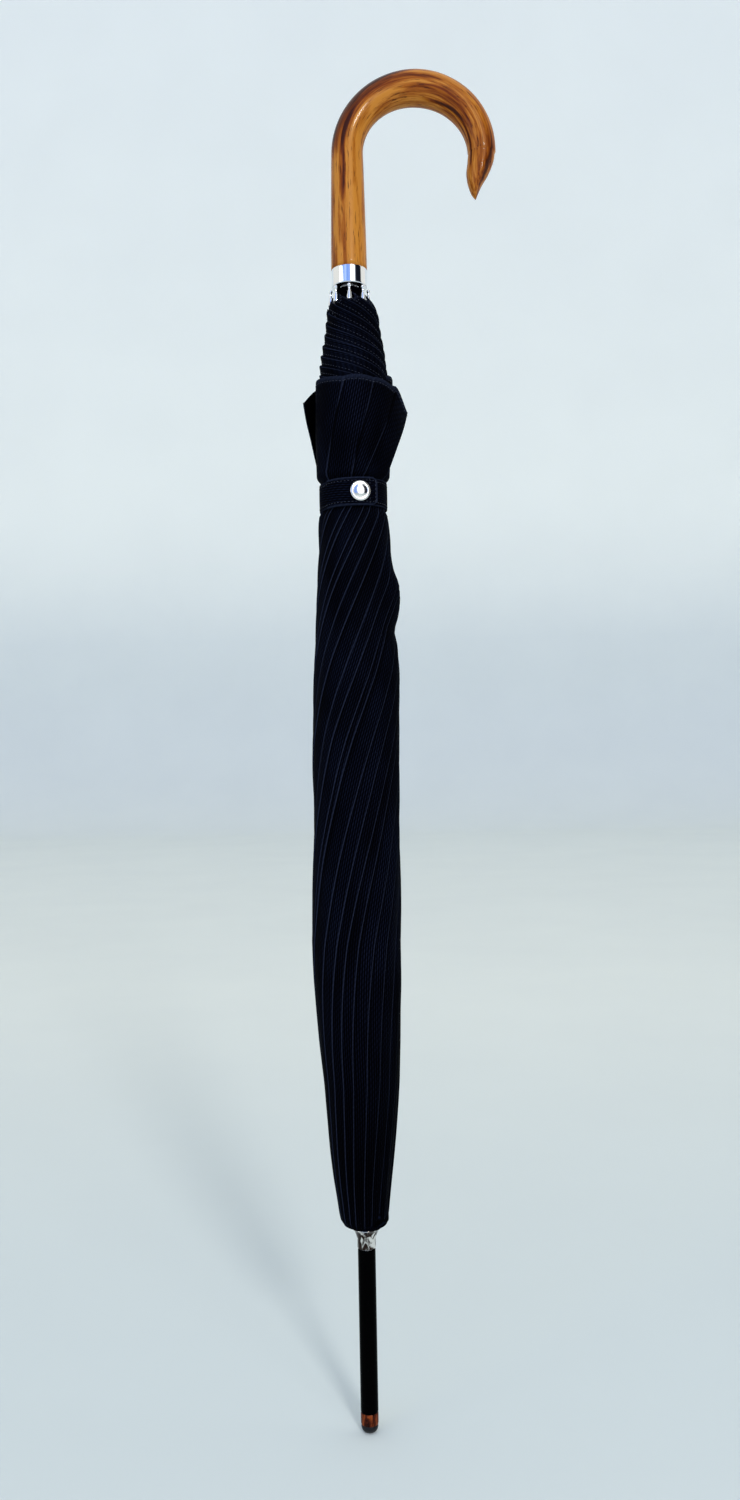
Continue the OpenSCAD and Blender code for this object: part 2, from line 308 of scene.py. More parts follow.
def chrome_recipe(f):
    haze = f.grain(f.place((1, 1, 0.25)), 900.0, 3.0)
    rub_and_glint = f.grain(f.place(), 60.0, 2.0)
    colour = f.mix(rub_and_glint, (0.80, 0.82, 0.86), (0.93, 0.94, 0.96))
    return f.surface(Base_Color=colour, Metallic=1.0, Roughness=0.035 + haze * 0.07,
                     Normal=f.bump(rub_and_glint, 0.06, 0.0004))


def painted_reflection_recipe(f):
    """Chrome with painted dark brown reflections in patches, as on the open cap."""
    haze = f.grain(f.place((1, 1, 0.5)), 700.0, 3.0)
    dark_reflection = f.grain(f.place((1, 1, 0.35)), 210.0, 3.0, 0.55, 0.8).span(0.42, 0.54)
    # Painted reflection: near-black patches on the chrome.
    colour = f.mix(dark_reflection, (0.86, 0.83, 0.78), (0.030, 0.018, 0.014))
    return f.surface(Base_Color=colour, Metallic=1.0, Roughness=0.05 + haze * 0.10,
                     Normal=f.bump(haze, 0.05, 0.0003))


def nickel_recipe(f):
    haze = f.grain(f.place(), 1400.0, 3.0)
    rub_and_glint = f.grain(f.place(), 240.0, 2.0)
    colour = f.mix(rub_and_glint, (0.70, 0.69, 0.67), (0.90, 0.89, 0.87))
    return f.surface(Base_Color=colour, Metallic=1.0, Roughness=0.08 + haze * 0.12,
                     Normal=f.bump(rub_and_glint, 0.08, 0.0003))


def steel_recipe(f):
    draw = f.grain(f.place((1, 1, 0.012)), 2200.0, 3.0)
    rub_and_glint = f.grain(f.place((1, 1, 0.3)), 70.0, 2.0)
    colour = f.mix(rub_and_glint, (0.26, 0.26, 0.27), (0.42, 0.42, 0.43))
    return f.surface(Base_Color=colour, Metallic=1.0, Roughness=0.16 + draw * 0.2,
                     Normal=f.bump(draw, 0.12, 0.00008))


def wire_recipe(f):
    draw = f.grain(f.place(), 1800.0, 2.0)
    colour = f.mix(draw, (0.40, 0.40, 0.41), (0.70, 0.70, 0.71))
    return f.surface(Base_Color=colour, Metallic=1.0, Roughness=0.24 + draw * 0.2)


def enamel_recipe(f):
    """Black enamel on rib steel, rubbed to grey here and there."""
    flow = f.grain(f.place((1, 1, 0.2)), 420.0, 3.0)
    chips = f.grain(f.place(), 700.0, 4.0).span(0.68, 0.76)
    colour = f.mix(chips * 0.6, (0.010, 0.010, 0.012), (0.12, 0.12, 0.125))
    return f.surface(Base_Color=colour, Roughness=0.26 + flow * 0.22, Coat_Weight=0.2,
                     Normal=f.bump(flow, 0.15, 0.0001))


def ferrule_recipe(f):
    flow = f.grain(f.place((1, 1, 0.1)), 160.0, 2.0)
    scuff = f.grain(f.place((1, 1, 0.5)), 1500.0, 3.0).span(0.62, 0.78)
    colour = f.mix(scuff * 0.3, f.shades.ferrule, (0.006, 0.006, 0.007))
    return f.surface(Base_Color=colour, Roughness=0.12 + scuff * 0.22, Specular_IOR_Level=0.012,
                     Normal=f.bump(flow, 0.06, 0.0003))


def band_recipe(f):
    swirl = f.grain(f.place((1, 1, 0.35)), 330.0, 4.0, 0.6, 0.6)
    stops = [(0.36, f.shades.band_dark), (0.52, f.shades.band_red), (0.68, f.shades.band_light)]
    colour = f.node("ShaderNodeValToRGB", {"stops": stops}, swirl)
    return f.surface(Base_Color=colour, Roughness=0.22 + swirl * 0.2, Specular_IOR_Level=0.04,
                     Coat_Weight=0.05, Coat_Roughness=0.1)


def tip_recipe(f):
    _, _, z = f.split(f.place())
    pits = f.grain(f.place(), 1300.0, 4.0)
    wear_and_glint = z.span(0.0035, 0.0, 0.0, 1.0) * pits.span(0.35, 0.65)
    colour = f.mix(wear_and_glint * 0.8, (0.020, 0.020, 0.022), (0.20, 0.19, 0.18))
    return f.surface(Base_Color=colour, Metallic=0.85, Roughness=0.28 + pits * 0.3,
                     Normal=f.bump(pits, 0.4, 0.0002))


def plastic_recipe(f):
    pebble = f.grain(f.place(), 2400.0, 2.0)
    flow = f.grain(f.place(), 90.0, 2.0)
    colour = f.mix(flow, (0.012, 0.012, 0.013), (0.024, 0.024, 0.026))
    return f.surface(Base_Color=colour, Roughness=0.36 + pebble * 0.2, Normal=f.bump(pebble, 0.25, 0.00008))


def floor_recipe(f):
    mottle = f.grain(f.place(), 3.0, 3.0)
    _, depth, height = f.split(f.place())
    far = height.span(0.0, 2.1).most(depth.span(-0.2, 1.6, 0.0, 0.55))
    colour = f.mix(far, f.shades.floor, f.shades.wall)
    colour = f.mix(mottle * 0.16, colour, f.shades.mottle)
    glow = f.mix(height.span(0.0, 2.1), (0.0, 0.0, 0.0), f.shades.wall)
    return f.surface(Base_Color=colour, Roughness=0.85, Specular_IOR_Level=0.1, Emission_Color=glow,
                     Emission_Strength=0.12)


RECIPES = {
    "twill_cloth": cloth_recipe,
    "sewing_thread": thread_recipe,
    "lacquered_wood": wood_recipe,
    "bright_chrome": chrome_recipe,
    "chrome_painted_reflection": painted_reflection_recipe,
    "polished_nickel": nickel_recipe,
    "drawn_steel": steel_recipe,
    "plain_wire": wire_recipe,
    "rib_enamel": enamel_recipe,
    "gloss_black": ferrule_recipe,
    "brown_lacquer": band_recipe,
    "dark_tip": tip_recipe,
    "moulded_black": plastic_recipe,
    "pale_floor": floor_recipe,
}


# ---------------------------------------------------------------- mesh helpers


def smoothstep(value, low=0.0, high=1.0):
    t = min(1.0, max(0.0, (value - low) / (high - low)))
    return t * t * (3 - 2 * t)


def between(knots, value):
    """Straight-line interpolation in a list of (place, value)."""
    if value <= knots[0][0]:
        return knots[0][1]
    for (a, first), (b, second) in zip(knots, knots[1:]):
        if value <= b:
            return first + (second - first) * (value - a) / (b - a)
    return knots[-1][1]


def eased(knots, value):
    """Smooth interpolation in a list of (place, value), with no overshoot."""
    if value <= knots[0][0]:
        return knots[0][1]
    slopes = [(q[1] - p[1]) / (q[0] - p[0]) for p, q in zip(knots, knots[1:])]
    for k, ((a, first), (b, second)) in enumerate(zip(knots, knots[1:])):
        if value <= b:
            before = slopes[k - 1] if k else slopes[k]
            after = slopes[k + 1] if k + 1 < len(slopes) else slopes[k]
            start = 0.0 if before * slopes[k] <= 0 else 2 * before * slopes[k] / (before + slopes[k])
            stop = 0.0 if after * slopes[k] <= 0 else 2 * after * slopes[k] / (after + slopes[k])
            width, t = b - a, (value - a) / (b - a)
            return (first * (2 * t ** 3 - 3 * t * t + 1) + second * (3 * t * t - 2 * t ** 3)
                    + width * (start * (t ** 3 - 2 * t * t + t) + stop * (t ** 3 - t * t)))
    return knots[-1][1]


def piece(name, points, faces, material, weave=None, marks=None):
    """A mesh object at the origin from points in millimetres. weave gives each point's place in the cloth."""
    mesh = bpy.data.meshes.new(name)
    mesh.from_pydata([(x * MM, y * MM, z * MM) for x, y, z in points], [], faces)
    mesh.validate()
    mesh.polygons.foreach_set("use_smooth", [True] * len(mesh.polygons))
    if weave:
        layer = mesh.uv_layers.new(name="weave")
        corners = [c for loop in mesh.loops for c in weave[loop.vertex_index]]
        layer.data.foreach_set("uv", [c * MM for c in corners])
    for key, values in (marks or {}).items():
        if hasattr(values[0], "__len__"):
            layer = mesh.attributes.new(key, "FLOAT_VECTOR", "POINT")
            layer.data.foreach_set("vector", [c for v in values for c in v])
        else:
            layer = mesh.attributes.new(key, "FLOAT", "POINT")
            layer.data.foreach_set("value", values)
    made = bpy.data.objects.new(name, mesh)
    bpy.context.scene.collection.objects.link(made)
    mesh.materials.append(finish(material))
    return made


def settle(made, body, slot, *nodes):
    """Rides the piece on its body and hides the CAD nodes that it stands for."""
    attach(made, body)
    if nodes:
        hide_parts(*nodes)
    return made


def softened(profile, reach, steps=4):
    """Rounds the corners of an open profile. A corner may carry its own reach as a third number."""
    rounded = [profile[0][:2]]
    for before, corner, after in zip(profile, profile[1:], profile[2:]):
        own = corner[2] if len(corner) > 2 else reach
        here = Vector(corner[:2])
        back, on = Vector(before[:2]) - here, Vector(after[:2]) - here
        cut = min(own, back.length * 0.45, on.length * 0.45)
        if cut < 1e-4:
            rounded.append(tuple(here))
            continue
        start, stop = here + back.normalized() * cut, here + on.normalized() * cut
        for k in range(steps + 1):
            t = k / steps
            rounded.append(tuple(start * (1 - t) ** 2 + here * 2 * t * (1 - t) + stop * t * t))
    rounded.append(profile[-1][:2])
    return rounded


def lathe(profile, around=64, axis=None):
    """Points and faces of a closed profile [(radius, height)] turned about Z. Its two ends may be poles."""
    points, faces, rows = [], [], []
    closed = profile[0][0] > 1e-6 or profile[-1][0] > 1e-6
    for radius, height in profile:
        if radius < 1e-6:
            rows.append([len(points)])
            points.append((0.0, 0.0, height))
            continue
        rows.append(list(range(len(points), len(points) + around)))
        for k in range(around):
            turn = 2 * math.pi * k / around
            points.append((radius * math.cos(turn), radius * math.sin(turn), height))
    pairs = list(zip(rows, rows[1:])) + ([(rows[-1], rows[0])] if closed else [])
    for low, high in pairs:
        for k in range(around):
            n = (k + 1) % around
            ring = [low[k % len(low)], low[n % len(low)], high[n % len(high)], high[k % len(high)]]
            ring = list(dict.fromkeys(ring))
            if len(ring) > 2:
                faces.append(ring)
    if axis:
        points = [axis(Vector(p)) for p in points]
    return points, faces


def outward(made):
    """Recalculates the normals so that the faces of a closed shell point outwards."""
    shape = bmesh.new()
    shape.from_mesh(made.data)
    bmesh.ops.recalc_face_normals(shape, faces=shape.faces)
    shape.to_mesh(made.data)
    shape.free()
    return made


def turned(name, profile, material, around=64, reach=0.4, axis=None):
    """A turned piece with softened corners."""
    points, faces = lathe(softened(profile, reach), around, axis)
    return outward(piece(name, points, faces, material))


def polar(radius, turn, height):
    return (radius * math.cos(turn), radius * math.sin(turn), height)


# ---------------------------------------------------------------- settings


def millimetres(name, text, default, low, high):
    return bpy.props.FloatProperty(name=name, description=text + ", mm", default=default, min=low, max=high)


class StickSettings(bpy.types.PropertyGroup):
    """Sizes of the crook and the turned fittings."""

    wood_r: millimetres("Wood radius", "Radius of the wood at its foot", 11.9, 9, 12.5)
    crook_r: millimetres("Crook radius", "Radius of the bend's centre line", 44.7, 35, 50)
    cap_lip: millimetres("Cap lip", "Thickness of the open cap's rim", 0.9, 0.4, 2)
    tip_ball: millimetres("Rib tip ball", "Radius of the ball on each rib tip", 1.3, 1, 2.2)


class ClothSettings(bpy.types.PropertyGroup):
    """How the furled canopy is folded."""

    thickness: millimetres("Fold thickness", "Thickness of a doubled fold", 0.9, 0.3, 2)
    proud: millimetres("Fold height", "How far a fold's free edge stands proud", 0.8, 0.1, 2)
    scallop: millimetres("Hem scallop", "Depth of the opened hem's curve", 54, 0, 90)
    stitch: millimetres("Stitch", "Distance from stitch to stitch", 2.3, 1, 5)
    thread: millimetres("Thread", "Width of the sewing thread", 0.34, 0.1, 1)
    seed: bpy.props.IntProperty(name="Seed", description="Seed of the folds' small differences", default=7)


class StageSettings(bpy.types.PropertyGroup):
    """Camera and light."""

    distance: bpy.props.FloatProperty(name="Camera distance", description="From the camera to the stick",
                                      default=0.80, min=0.4, max=4, unit="LENGTH")
    roll: bpy.props.FloatProperty(name="Camera roll", description="Lean of the stick in the picture",
                                  default=math.radians(1.03), min=-0.2, max=0.2, subtype="ANGLE")
    key_power: bpy.props.FloatProperty(name="Key light", description="Power of the key light",
                                       default=29, min=0, max=400, unit="POWER")


# ---------------------------------------------------------------- stick and fittings

FOOT_Z = 771.6
SPRING_Z = 848.7
RISE = 43.5
WOOD_R = [(0, 1.0), (12, 0.99), (42, 0.947), (64, 0.913), (84, 0.882), (100, 0.886), (125, 0.921),
          (150, 0.960), (178, 0.921), (200, 0.843), (216, 0.783), (230, 0.762)]
BEAK_IN = [(819, 84.6), (822, 82.4), (826, 80.8), (831, 79.5), (836, 79.0), (842, 79.7), (850, 80.55)]
BEAK_OUT = [(819, 85.2), (823.5, 87.1), (828, 89.3), (834.6, 93.4), (840.1, 95.9), (845.6, 97.7),
            (850, 98.25)]
BEAK_RIDGE = [(819, 84.9), (823.5, 85.6), (828, 86.5), (835, 88.4), (845, 89.4), (850, 89.4)]
BEAK_DEEP = [(819, 0.9), (821, 2.9), (824, 4.9), (829, 6.9), (836, 8.5), (843, 8.9), (850, 8.85)]


def crook_line(sizes):
    """The wood's centre line to the end of the bend: (x, z, direction, distance along, radius)."""
    line, along, before = [], 0.0, (0.0, FOOT_Z)
    straight, bend = 26, 64
    for k in range(straight + bend + 1):
        x, z, turn = 0.0, FOOT_Z + (SPRING_Z - FOOT_Z) * k / straight, 0.0
        if k > straight:
            turn = math.pi * (k - straight) / bend
            x, z = sizes.crook_r * (1 - math.cos(turn)), SPRING_Z + RISE * math.sin(turn)
        along += math.hypot(x - before[0], z - before[1])
        before = (x, z)
        line.append((x, z, turn, along, eased(WOOD_R, along) * sizes.wood_r))
    return line


def crook_darkening(along, phi):
    """How dark the wood is round the stick and along it: a broad patch on the outside of the bend, another
    where the bend ends, and dark veins.
    """
    def near(turn, width):
        return smoothstep(1 - abs(math.remainder(phi - turn, 2 * math.pi)) / width, 0.0, 1.0)

    drift = noise.noise(Vector((along * 0.03, 2.7, 0.0))) * 0.25
    marks = near(-2.45, 0.95) * smoothstep(along, 66, 92) * (1 - smoothstep(along, 122, 150))
    marks += 0.9 * near(-1.85 + drift, 0.20) * smoothstep(along, 38, 52) * (1 - smoothstep(along, 92, 104))
    marks += 0.9 * near(-0.62 + drift, 0.17) * smoothstep(along, 150, 168) * (1 - smoothstep(along, 222, 232))
    marks += 0.8 * near(-0.30 + drift, 0.12) * smoothstep(along, 168, 180) * (1 - smoothstep(along, 206, 216))
    marks += 0.7 * near(-2.35, 0.42) * smoothstep(along, 204, 216)
    marks += 0.7 * near(1.1 + drift, 0.5) * smoothstep(along, 20, 60) * (1 - smoothstep(along, 120, 160))
    marks += 0.6 * near(2.3 - drift, 0.3) * smoothstep(along, 100, 130)
    return min(1.0, marks)


def crook(sizes):
    """One bent stick, its foot in the collar and its end cut to a ridged beak."""
    around = 72
    points, grain, singe = [], [], []
    line = crook_line(sizes)
    line[:0] = [(0.0, 761.6, 0.0, -10.0, 10.85), (0.0, 771.3, 0.0, -0.3, 10.85)]
    for x, z, turn, along, radius in line:
        for k in range(around):
            phi = 2 * math.pi * k / around
            side, deep = math.cos(phi) * radius, math.sin(phi) * radius
            points.append((x + side * math.cos(turn), deep, z - side * math.sin(turn)))
            grain.append((side * MM, deep * MM, along * MM))
            singe.append(crook_darkening(along, phi))
    end = line[-1][3]
    for step in range(1, 31):
        z = SPRING_Z - 31 * step / 30
        level = 850 - 31 * step / 30
        low, high = eased(BEAK_IN, level), eased(BEAK_OUT, level)
        ridge, deep = eased(BEAK_RIDGE, level), eased(BEAK_DEEP, level)
        cut = 1 - smoothstep(level, 832, 849)
        for k in range(around):
            across, off = math.cos(2 * math.pi * k / around), math.sin(2 * math.pi * k / around)
            x = ridge - (ridge - low) * across
            if across < 0:
                x = ridge + (high - ridge) * (cut * across * across - (1 - cut) * across)
            points.append((x, deep * off, z))
            grain.append(((sizes.crook_r * 2 - x) * MM, deep * off * MM, (end + SPRING_Z - z) * MM))
            phi = 2 * math.pi * k / around
            singe.append(crook_darkening(end + SPRING_Z - z, phi) + 0.12 * cut)
    rows = len(points) // around
    points += [(0.0, 0.0, 761.6), (84.9, 0.0, SPRING_Z - 31.5)]
    grain += [grain[0], grain[-1]]
    singe += [0.0, 0.2]
    faces = grid_faces(rows, around)
    for row, pole in ((0, len(points) - 2), (rows - 1, len(points) - 1)):
        faces += [(row * around + k, row * around + (k + 1) % around, pole) for k in range(around)]
    wood = piece("crook_handle", points, faces, "lacquered_wood", marks={"grain": grain, "singe": singe})
    settle(outward(wood), "root", "crook_wood", "handle")


def grid_faces(rows, around):
    """Faces of a tube whose rows are closed rings."""
    faces = []
    for j in range(rows - 1):
        for k in range(around):
            n = (k + 1) % around
            a, b = j * around, (j + 1) * around
            faces.append((a + k, a + n, b + n, b + k))
    return faces


def chrome_fittings(sizes):
    low, high = node_mm("collar")
    radius = high.x + 0.15
    ring = [(5.04, low.z), (7.2, low.z, 0.3), (radius - 0.25, low.z, 0.5), (radius, low.z + 1.0, 0.3),
            (radius, high.z - 0.9, 0.3), (radius - 0.2, high.z, 0.25), (10.95, high.z, 0.2),
            (10.95, low.z + 1.5), (5.04, low.z + 1.5)]
    settle(turned("chrome_collar", ring, "bright_chrome", 96), "root", "chrome_trim", "collar")
    low, high = node_mm("open_cap")
    rim, lip, foot = high.x, sizes.cap_lip, low.z
    outside = [(4.9, 4.1), (7.2, 3.8), (9.4, 3.1), (11.4, 2.2), (12.8, 1.1), (13.4, 0.3)]
    bell = [(5.04, foot), (5.95, foot, 0.2), (rim - 4.1, foot + 0.4, 0.2)]
    bell += [(rim - inset, foot + rise, 1.2) for rise, inset in outside]
    bell += [(rim, high.z - 0.3, 0.15), (rim - 0.15, high.z, 0.15), (rim - lip, high.z - 0.1, 0.3),
             (rim - 2.4, high.z - 1.3, 0.8), (rim - 3.7, high.z - 3.4, 0.8), (5.04, high.z - 5.0)]
    settle(turned("open_cap_bell", bell, "chrome_painted_reflection", 96, 0.8), "root", "chrome_trim", "open_cap")


def ferrule_fittings():
    low, high = node_mm("ferrule")
    radius = high.x + 0.4
    rod = [(2.65, low.z + 0.05), (radius - 0.15, low.z + 0.05, 0.3), (radius, low.z + 0.9, 0.4),
           (radius, high.z - 0.8, 0.3), (radius - 0.3, high.z, 0.3), (5.1, high.z), (5.1, 104.0),
           (2.65, 104.0)]
    settle(turned("ferrule_rod", rod, "gloss_black", 72), "root", "ferrule_black", "ferrule")
    low, high = node_mm("ferrule_band")
    radius = high.x + 0.3
    ring = [(2.65, low.z), (radius - 0.25, low.z, 0.2), (radius + 0.05, low.z + 0.7, 0.5),
            (radius + 0.12, 9.3, 2.0), (radius + 0.05, high.z - 0.7, 0.5), (radius - 0.25, high.z, 0.2),
            (2.65, high.z)]
    settle(turned("ferrule_ring", ring, "brown_lacquer", 72), "root", "band_brown", "ferrule_band")
    button = [(0.0, 0.0), (2.3, 0.0, 0.8), (4.5, 0.9, 1.4), (5.5, 2.6, 1.2), (5.7, 4.2, 0.6),
              (5.55, 5.25, 0.2), (2.55, 5.25, 0.1), (2.55, 23.0, 0.3), (0.0, 23.2)]
    settle(turned("ferrule_button", button, "dark_tip", 72, 0.8), "root", "tip_metal", "ferrule_tip")


def rib_points(sizes):
    """Turned points on the rib ends: a flared skirt, a neck and a ball."""
    ball = sizes.tip_ball
    for k in range(1, RIBS + 1):
        low, high = node_mm(f"rib_tip_{k}")
        centre, foot = (low + high) / 2, low.z
        mid = high.z - ball
        outline = [(0.0, foot + 5.0), (0.95, foot + 5.0), (0.95, foot), (1.75, foot), (1.95, foot + 0.35),
                   (1.8, foot + 1.6, 0.8), (1.4, foot + 3.6, 1.0), (1.1, foot + 5.6, 1.0), (0.72, foot + 6.5),
                   (0.66, foot + 7.0), (0.66, foot + 7.7), (0.72, foot + 8.2)]
        for step in range(1, 9):
            turn = math.radians(-54 + 144 * step / 9)
            outline.append((ball * math.cos(turn), mid + ball * math.sin(turn), 0.05))
        outline.append((0.0, mid + ball))
        points, faces = lathe(softened(outline, 0.2, 3), 28)
        points = [(x + centre.x, y + centre.y, z) for x, y, z in points]
        made = outward(piece(f"rib_point_{k}", points, faces, "bright_chrome"))
        settle(made, f"rib_{k}", "chrome_trim", f"rib_tip_{k}")


def frame_finishes():
    """Finishes of the CAD nodes that stay on show."""
    kept = {"shaft": "drawn_steel", "notch": "moulded_black", "notch_wire": "plain_wire",
            "stop_pin": "plain_wire", "catch_pins": "plain_wire", "runner": "moulded_black",
            "runner_wire": "plain_wire", "bottom_catch": "drawn_steel", "top_catch": "drawn_steel"}
    for k in range(1, RIBS + 1):
        kept[f"rib_{k}"] = "rib_enamel"
        kept[f"stretcher_{k}"] = "rib_enamel"
    for node, material in kept.items():
        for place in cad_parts[node].material_slots:
            place.material = finish(material)


# ---------------------------------------------------------------- furled cloth

BUNDLE_FOOT = 138.6
BUNDLE_TOP = 634.0
BUNDLE_R = [(138.6, 13.6), (139.4, 14.6), (141.5, 15.3), (146, 15.9), (153.6, 16.8), (167, 18.5), (180, 19.9),
            (193.5, 21.2), (207, 22.4), (220, 23.6), (233, 24.7), (247, 25.8), (260, 26.7), (273, 27.3),
            (287, 27.9), (300, 28.4), (327, 28.8), (366, 28.9), (420, 28.2), (460, 28.5), (499, 28.2),
            (526, 26.6), (540, 25.8), (553, 25.2), (566, 24.5), (580, 23.8), (592, 23.4), (603, 22.9),
            (608.5, 22.3), (612.5, 20.3), (634, 20.3)]
BUNDLE_SHIFT = [(138, -1.3), (167, -1.6), (207, -1.2), (233, -1.1), (260, -1.9), (287, -2.6), (327, -3.5),
                (366, -2.5), (420, -1.3), (460, -1.1), (500, 0.2), (540, 0.3), (580, 0.2), (620, 0.0)]
BUNDLE_TWIST = [(138, 0.0010), (250, 0.0020), (300, 0.0042), (360, 0.0072), (430, 0.0102), (500, 0.0128),
                (560, 0.0185), (612, 0.0235), (634, 0.0235)]
NECK_FOOT = 688.0
NECK_R = [(688, 20.6), (697, 21.9), (701.6, 21.7), (709.5, 21.0), (717.5, 20.0), (725.5, 18.5), (733.5, 17.2),
          (741.5, 16.3), (746.8, 14.9), (752, 12.4), (755, 10.8)]
NECK_TWIST = [(688, -0.132), (697, -0.132), (754, -0.084)]
NECK_SHIFT = [(634, 0.0), (697, 1.3), (740, 1.7), (755, 0.5)]
FAN_FOOT = 628.0
FAN_EDGES = [(-139, -98.8), (-93, -54), (-74, -12), (-30, 8), (15, 55), (60, 100), (105, 140), (150, 183),
             (221, 261.2)]
FAN_HEM_Z = [(694, 694), (694, 690), (692, 678), (700, 694), (698, 690), (699, 688), (699, 684), (696, 694)]
FAN_HEM_R = [(25.5, 26.5), (25, 31), (29.5, 37.8), (25.8, 32.3), (27, 31), (27, 33), (27, 32.6), (23, 25.5)]
FAN_BELLY = [1.6, 1.8, 1.2, 0.5, 0.5, 0.5, 0.8, 1.4]
FAN_TUCK = [0.12, 0.12, 0.12, 0.38, 0.12, 0.12, 0.12, 0.12]


def running_total(rate, start, stop, step=1.0):
    """Integral of a rate over height, as knots."""
    knots, total, z = [(start, 0.0)], 0.0, start
    while z < stop:
        total += between(rate, z + step / 2) * step
        z += step
        knots.append((z, total))
    return knots


class Folds:
    """Collects closed strips of cloth, folded over at both long edges, into one mesh."""

    def __init__(self, thickness):
        self.thickness = thickness
        self.points, self.faces, self.weave, self.edge, self.hollow = [], [], [], [], []

    def strip(self, where, rows, columns, bright=(1.0, 0.0), top_bright=0.0, cloth=None, under=0.0,
              fade=None):
        """where(u, t) gives the outer face: (radius, azimuth, height, sideways shift), u across and t along.

        bright is how strong the painted highlight on the edges at u = 1 and u = 0 is. under is how far the
        side at u = 0 lies below
        its neighbour: painted shade darkens the cloth there and a little beyond. cloth(u, t) gives the place
        in the cloth, if it isn't to be measured on the surface. fade is the pair of heights between which the
        cloth grows lighter.
        """
        first, size = len(self.points), 2 * columns + 6
        half, along = self.thickness / 2, 0.0
        before = None
        for j in range(rows):
            t = j / (rows - 1)
            outer, normals = [], []
            for k in range(columns):
                radius, turn, z, shift = where(k / (columns - 1), t)
                outer.append(Vector((radius * math.cos(turn) + shift, radius * math.sin(turn), z)))
                normals.append(Vector((math.cos(turn), math.sin(turn), 0.0)))
            if before:
                along += (outer[-1] - before).length
            before = outer[-1]
            spans = [(b - a).length for a, b in zip(outer, outer[1:])]
            across = [sum(spans[k:]) for k in range(columns)]
            # Painted highlight along the top edge.
            wear_and_glint = top_bright * smoothstep(t, 1 - 5 / rows, 1.0)
            # Painted highlight along the free edges.
            marks = []
            for k in range(columns):
                mark = max(bright[0] * smoothstep(-across[k], -0.8, 0.0),
                           bright[1] * smoothstep(across[k], across[0] - 0.8, across[0]), wear_and_glint)
                marks.append(mark)
            places = [(across[k], along) for k in range(columns)]
            if cloth:
                places = [cloth(k / (columns - 1), t) for k in range(columns)]
            dark = [0.0] * columns
            # Painted shade beside the edge that the neighbour overlaps.
            if under:
                dark = [1 - smoothstep(across[0] - c, under + 0.9, under + 3.6) for c in across]
            if fade:
                deep = 0.8 * (1 - smoothstep(outer[0].z, *fade))
                dark = [max(deep, d) for d in dark]
                marks = [m * (1 - deep * 0.5) for m in marks]
            # Painted shade: full on the inner face, partial on the rounded edges.
            self.hollow += dark + [0.3] * 3 + [1.0] * columns + [0.5 if under else 0.2] * 3
            inner = [p - n * self.thickness for p, n in zip(outer, normals)]
            right = self._nose(outer[-1], outer[-2], normals[-1], half)
            left = self._nose(outer[0], outer[1], normals[0], half)[::-1]
            self.points += [tuple(p) for p in outer + right + inner[::-1] + left]
            low, high = places[-1], places[0]
            self.weave += places + [(low[0] - 0.3 * k, low[1]) for k in (1, 2, 3)]
            self.weave += places[::-1] + [(high[0] + 0.3 * k, high[1]) for k in (3, 2, 1)]
            self.edge += marks + [max(wear_and_glint, bright[0] * m) for m in (1.0, 0.8, 0.2)] + [0.0] * columns
            self.edge += [max(wear_and_glint, bright[1] * m) for m in (0.2, 0.8, 1.0)]
        for j in range(rows - 1):
            a, b = first + j * size, first + (j + 1) * size
            self.faces += [(a + k, a + (k + 1) % size, b + (k + 1) % size, b + k) for k in range(size)]
        for row in (first, first + (rows - 1) * size):
            for k in range(columns - 1):
                far = 2 * columns + 2 - k
                self.faces.append((row + k, row + k + 1, row + far - 1, row + far))
            self.faces.append([row + k for k in range(columns - 1, columns + 4)])
            self.faces.append([row] + [row + k for k in range(size - 1, size - 5, -1)])

    @staticmethod
    def _nose(end, inside, normal, half):
        """Three points that round an edge of the cloth over to its inner face."""
        reach = end - inside
        reach = (reach - normal * reach.dot(normal)).normalized()
        middle = end - normal * half
        turns = [math.pi * k / 4 for k in (1, 2, 3)]
        return [middle + normal * half * math.cos(b) + reach * half * math.sin(b) for b in turns]

    def mesh(self, name):
        marks = {"edge": self.edge, "hollow": self.hollow}
        return outward(piece(name, self.points, self.faces, "twill_cloth", self.weave, marks))


def furl(made):
    """Gives the furled cloth a mesh of its own."""
    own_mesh(made)
    return made


def bundle_lift(turn, z):
    """Soft hollows and swellings of the rolled cloth, and the tuck on its right side."""
    wave = noise.noise(Vector((math.cos(turn) * 1.4, math.sin(turn) * 1.4, z * 0.013))) * 0.9
    side = 1 - abs(math.remainder(turn + 0.15, 2 * math.pi)) / 0.85
    bulge = 4.4 * smoothstep(side, 0, 1) * math.exp(-((z - 558) / (12 if z > 558 else 19)) ** 2)
    slot = -1.9 * smoothstep(side, 0, 0.8) * math.exp(-((z - 531) / 6) ** 2)
    return wave * smoothstep(z, 140, 190) * (1 - smoothstep(z, 590, 608)) + bulge + slot


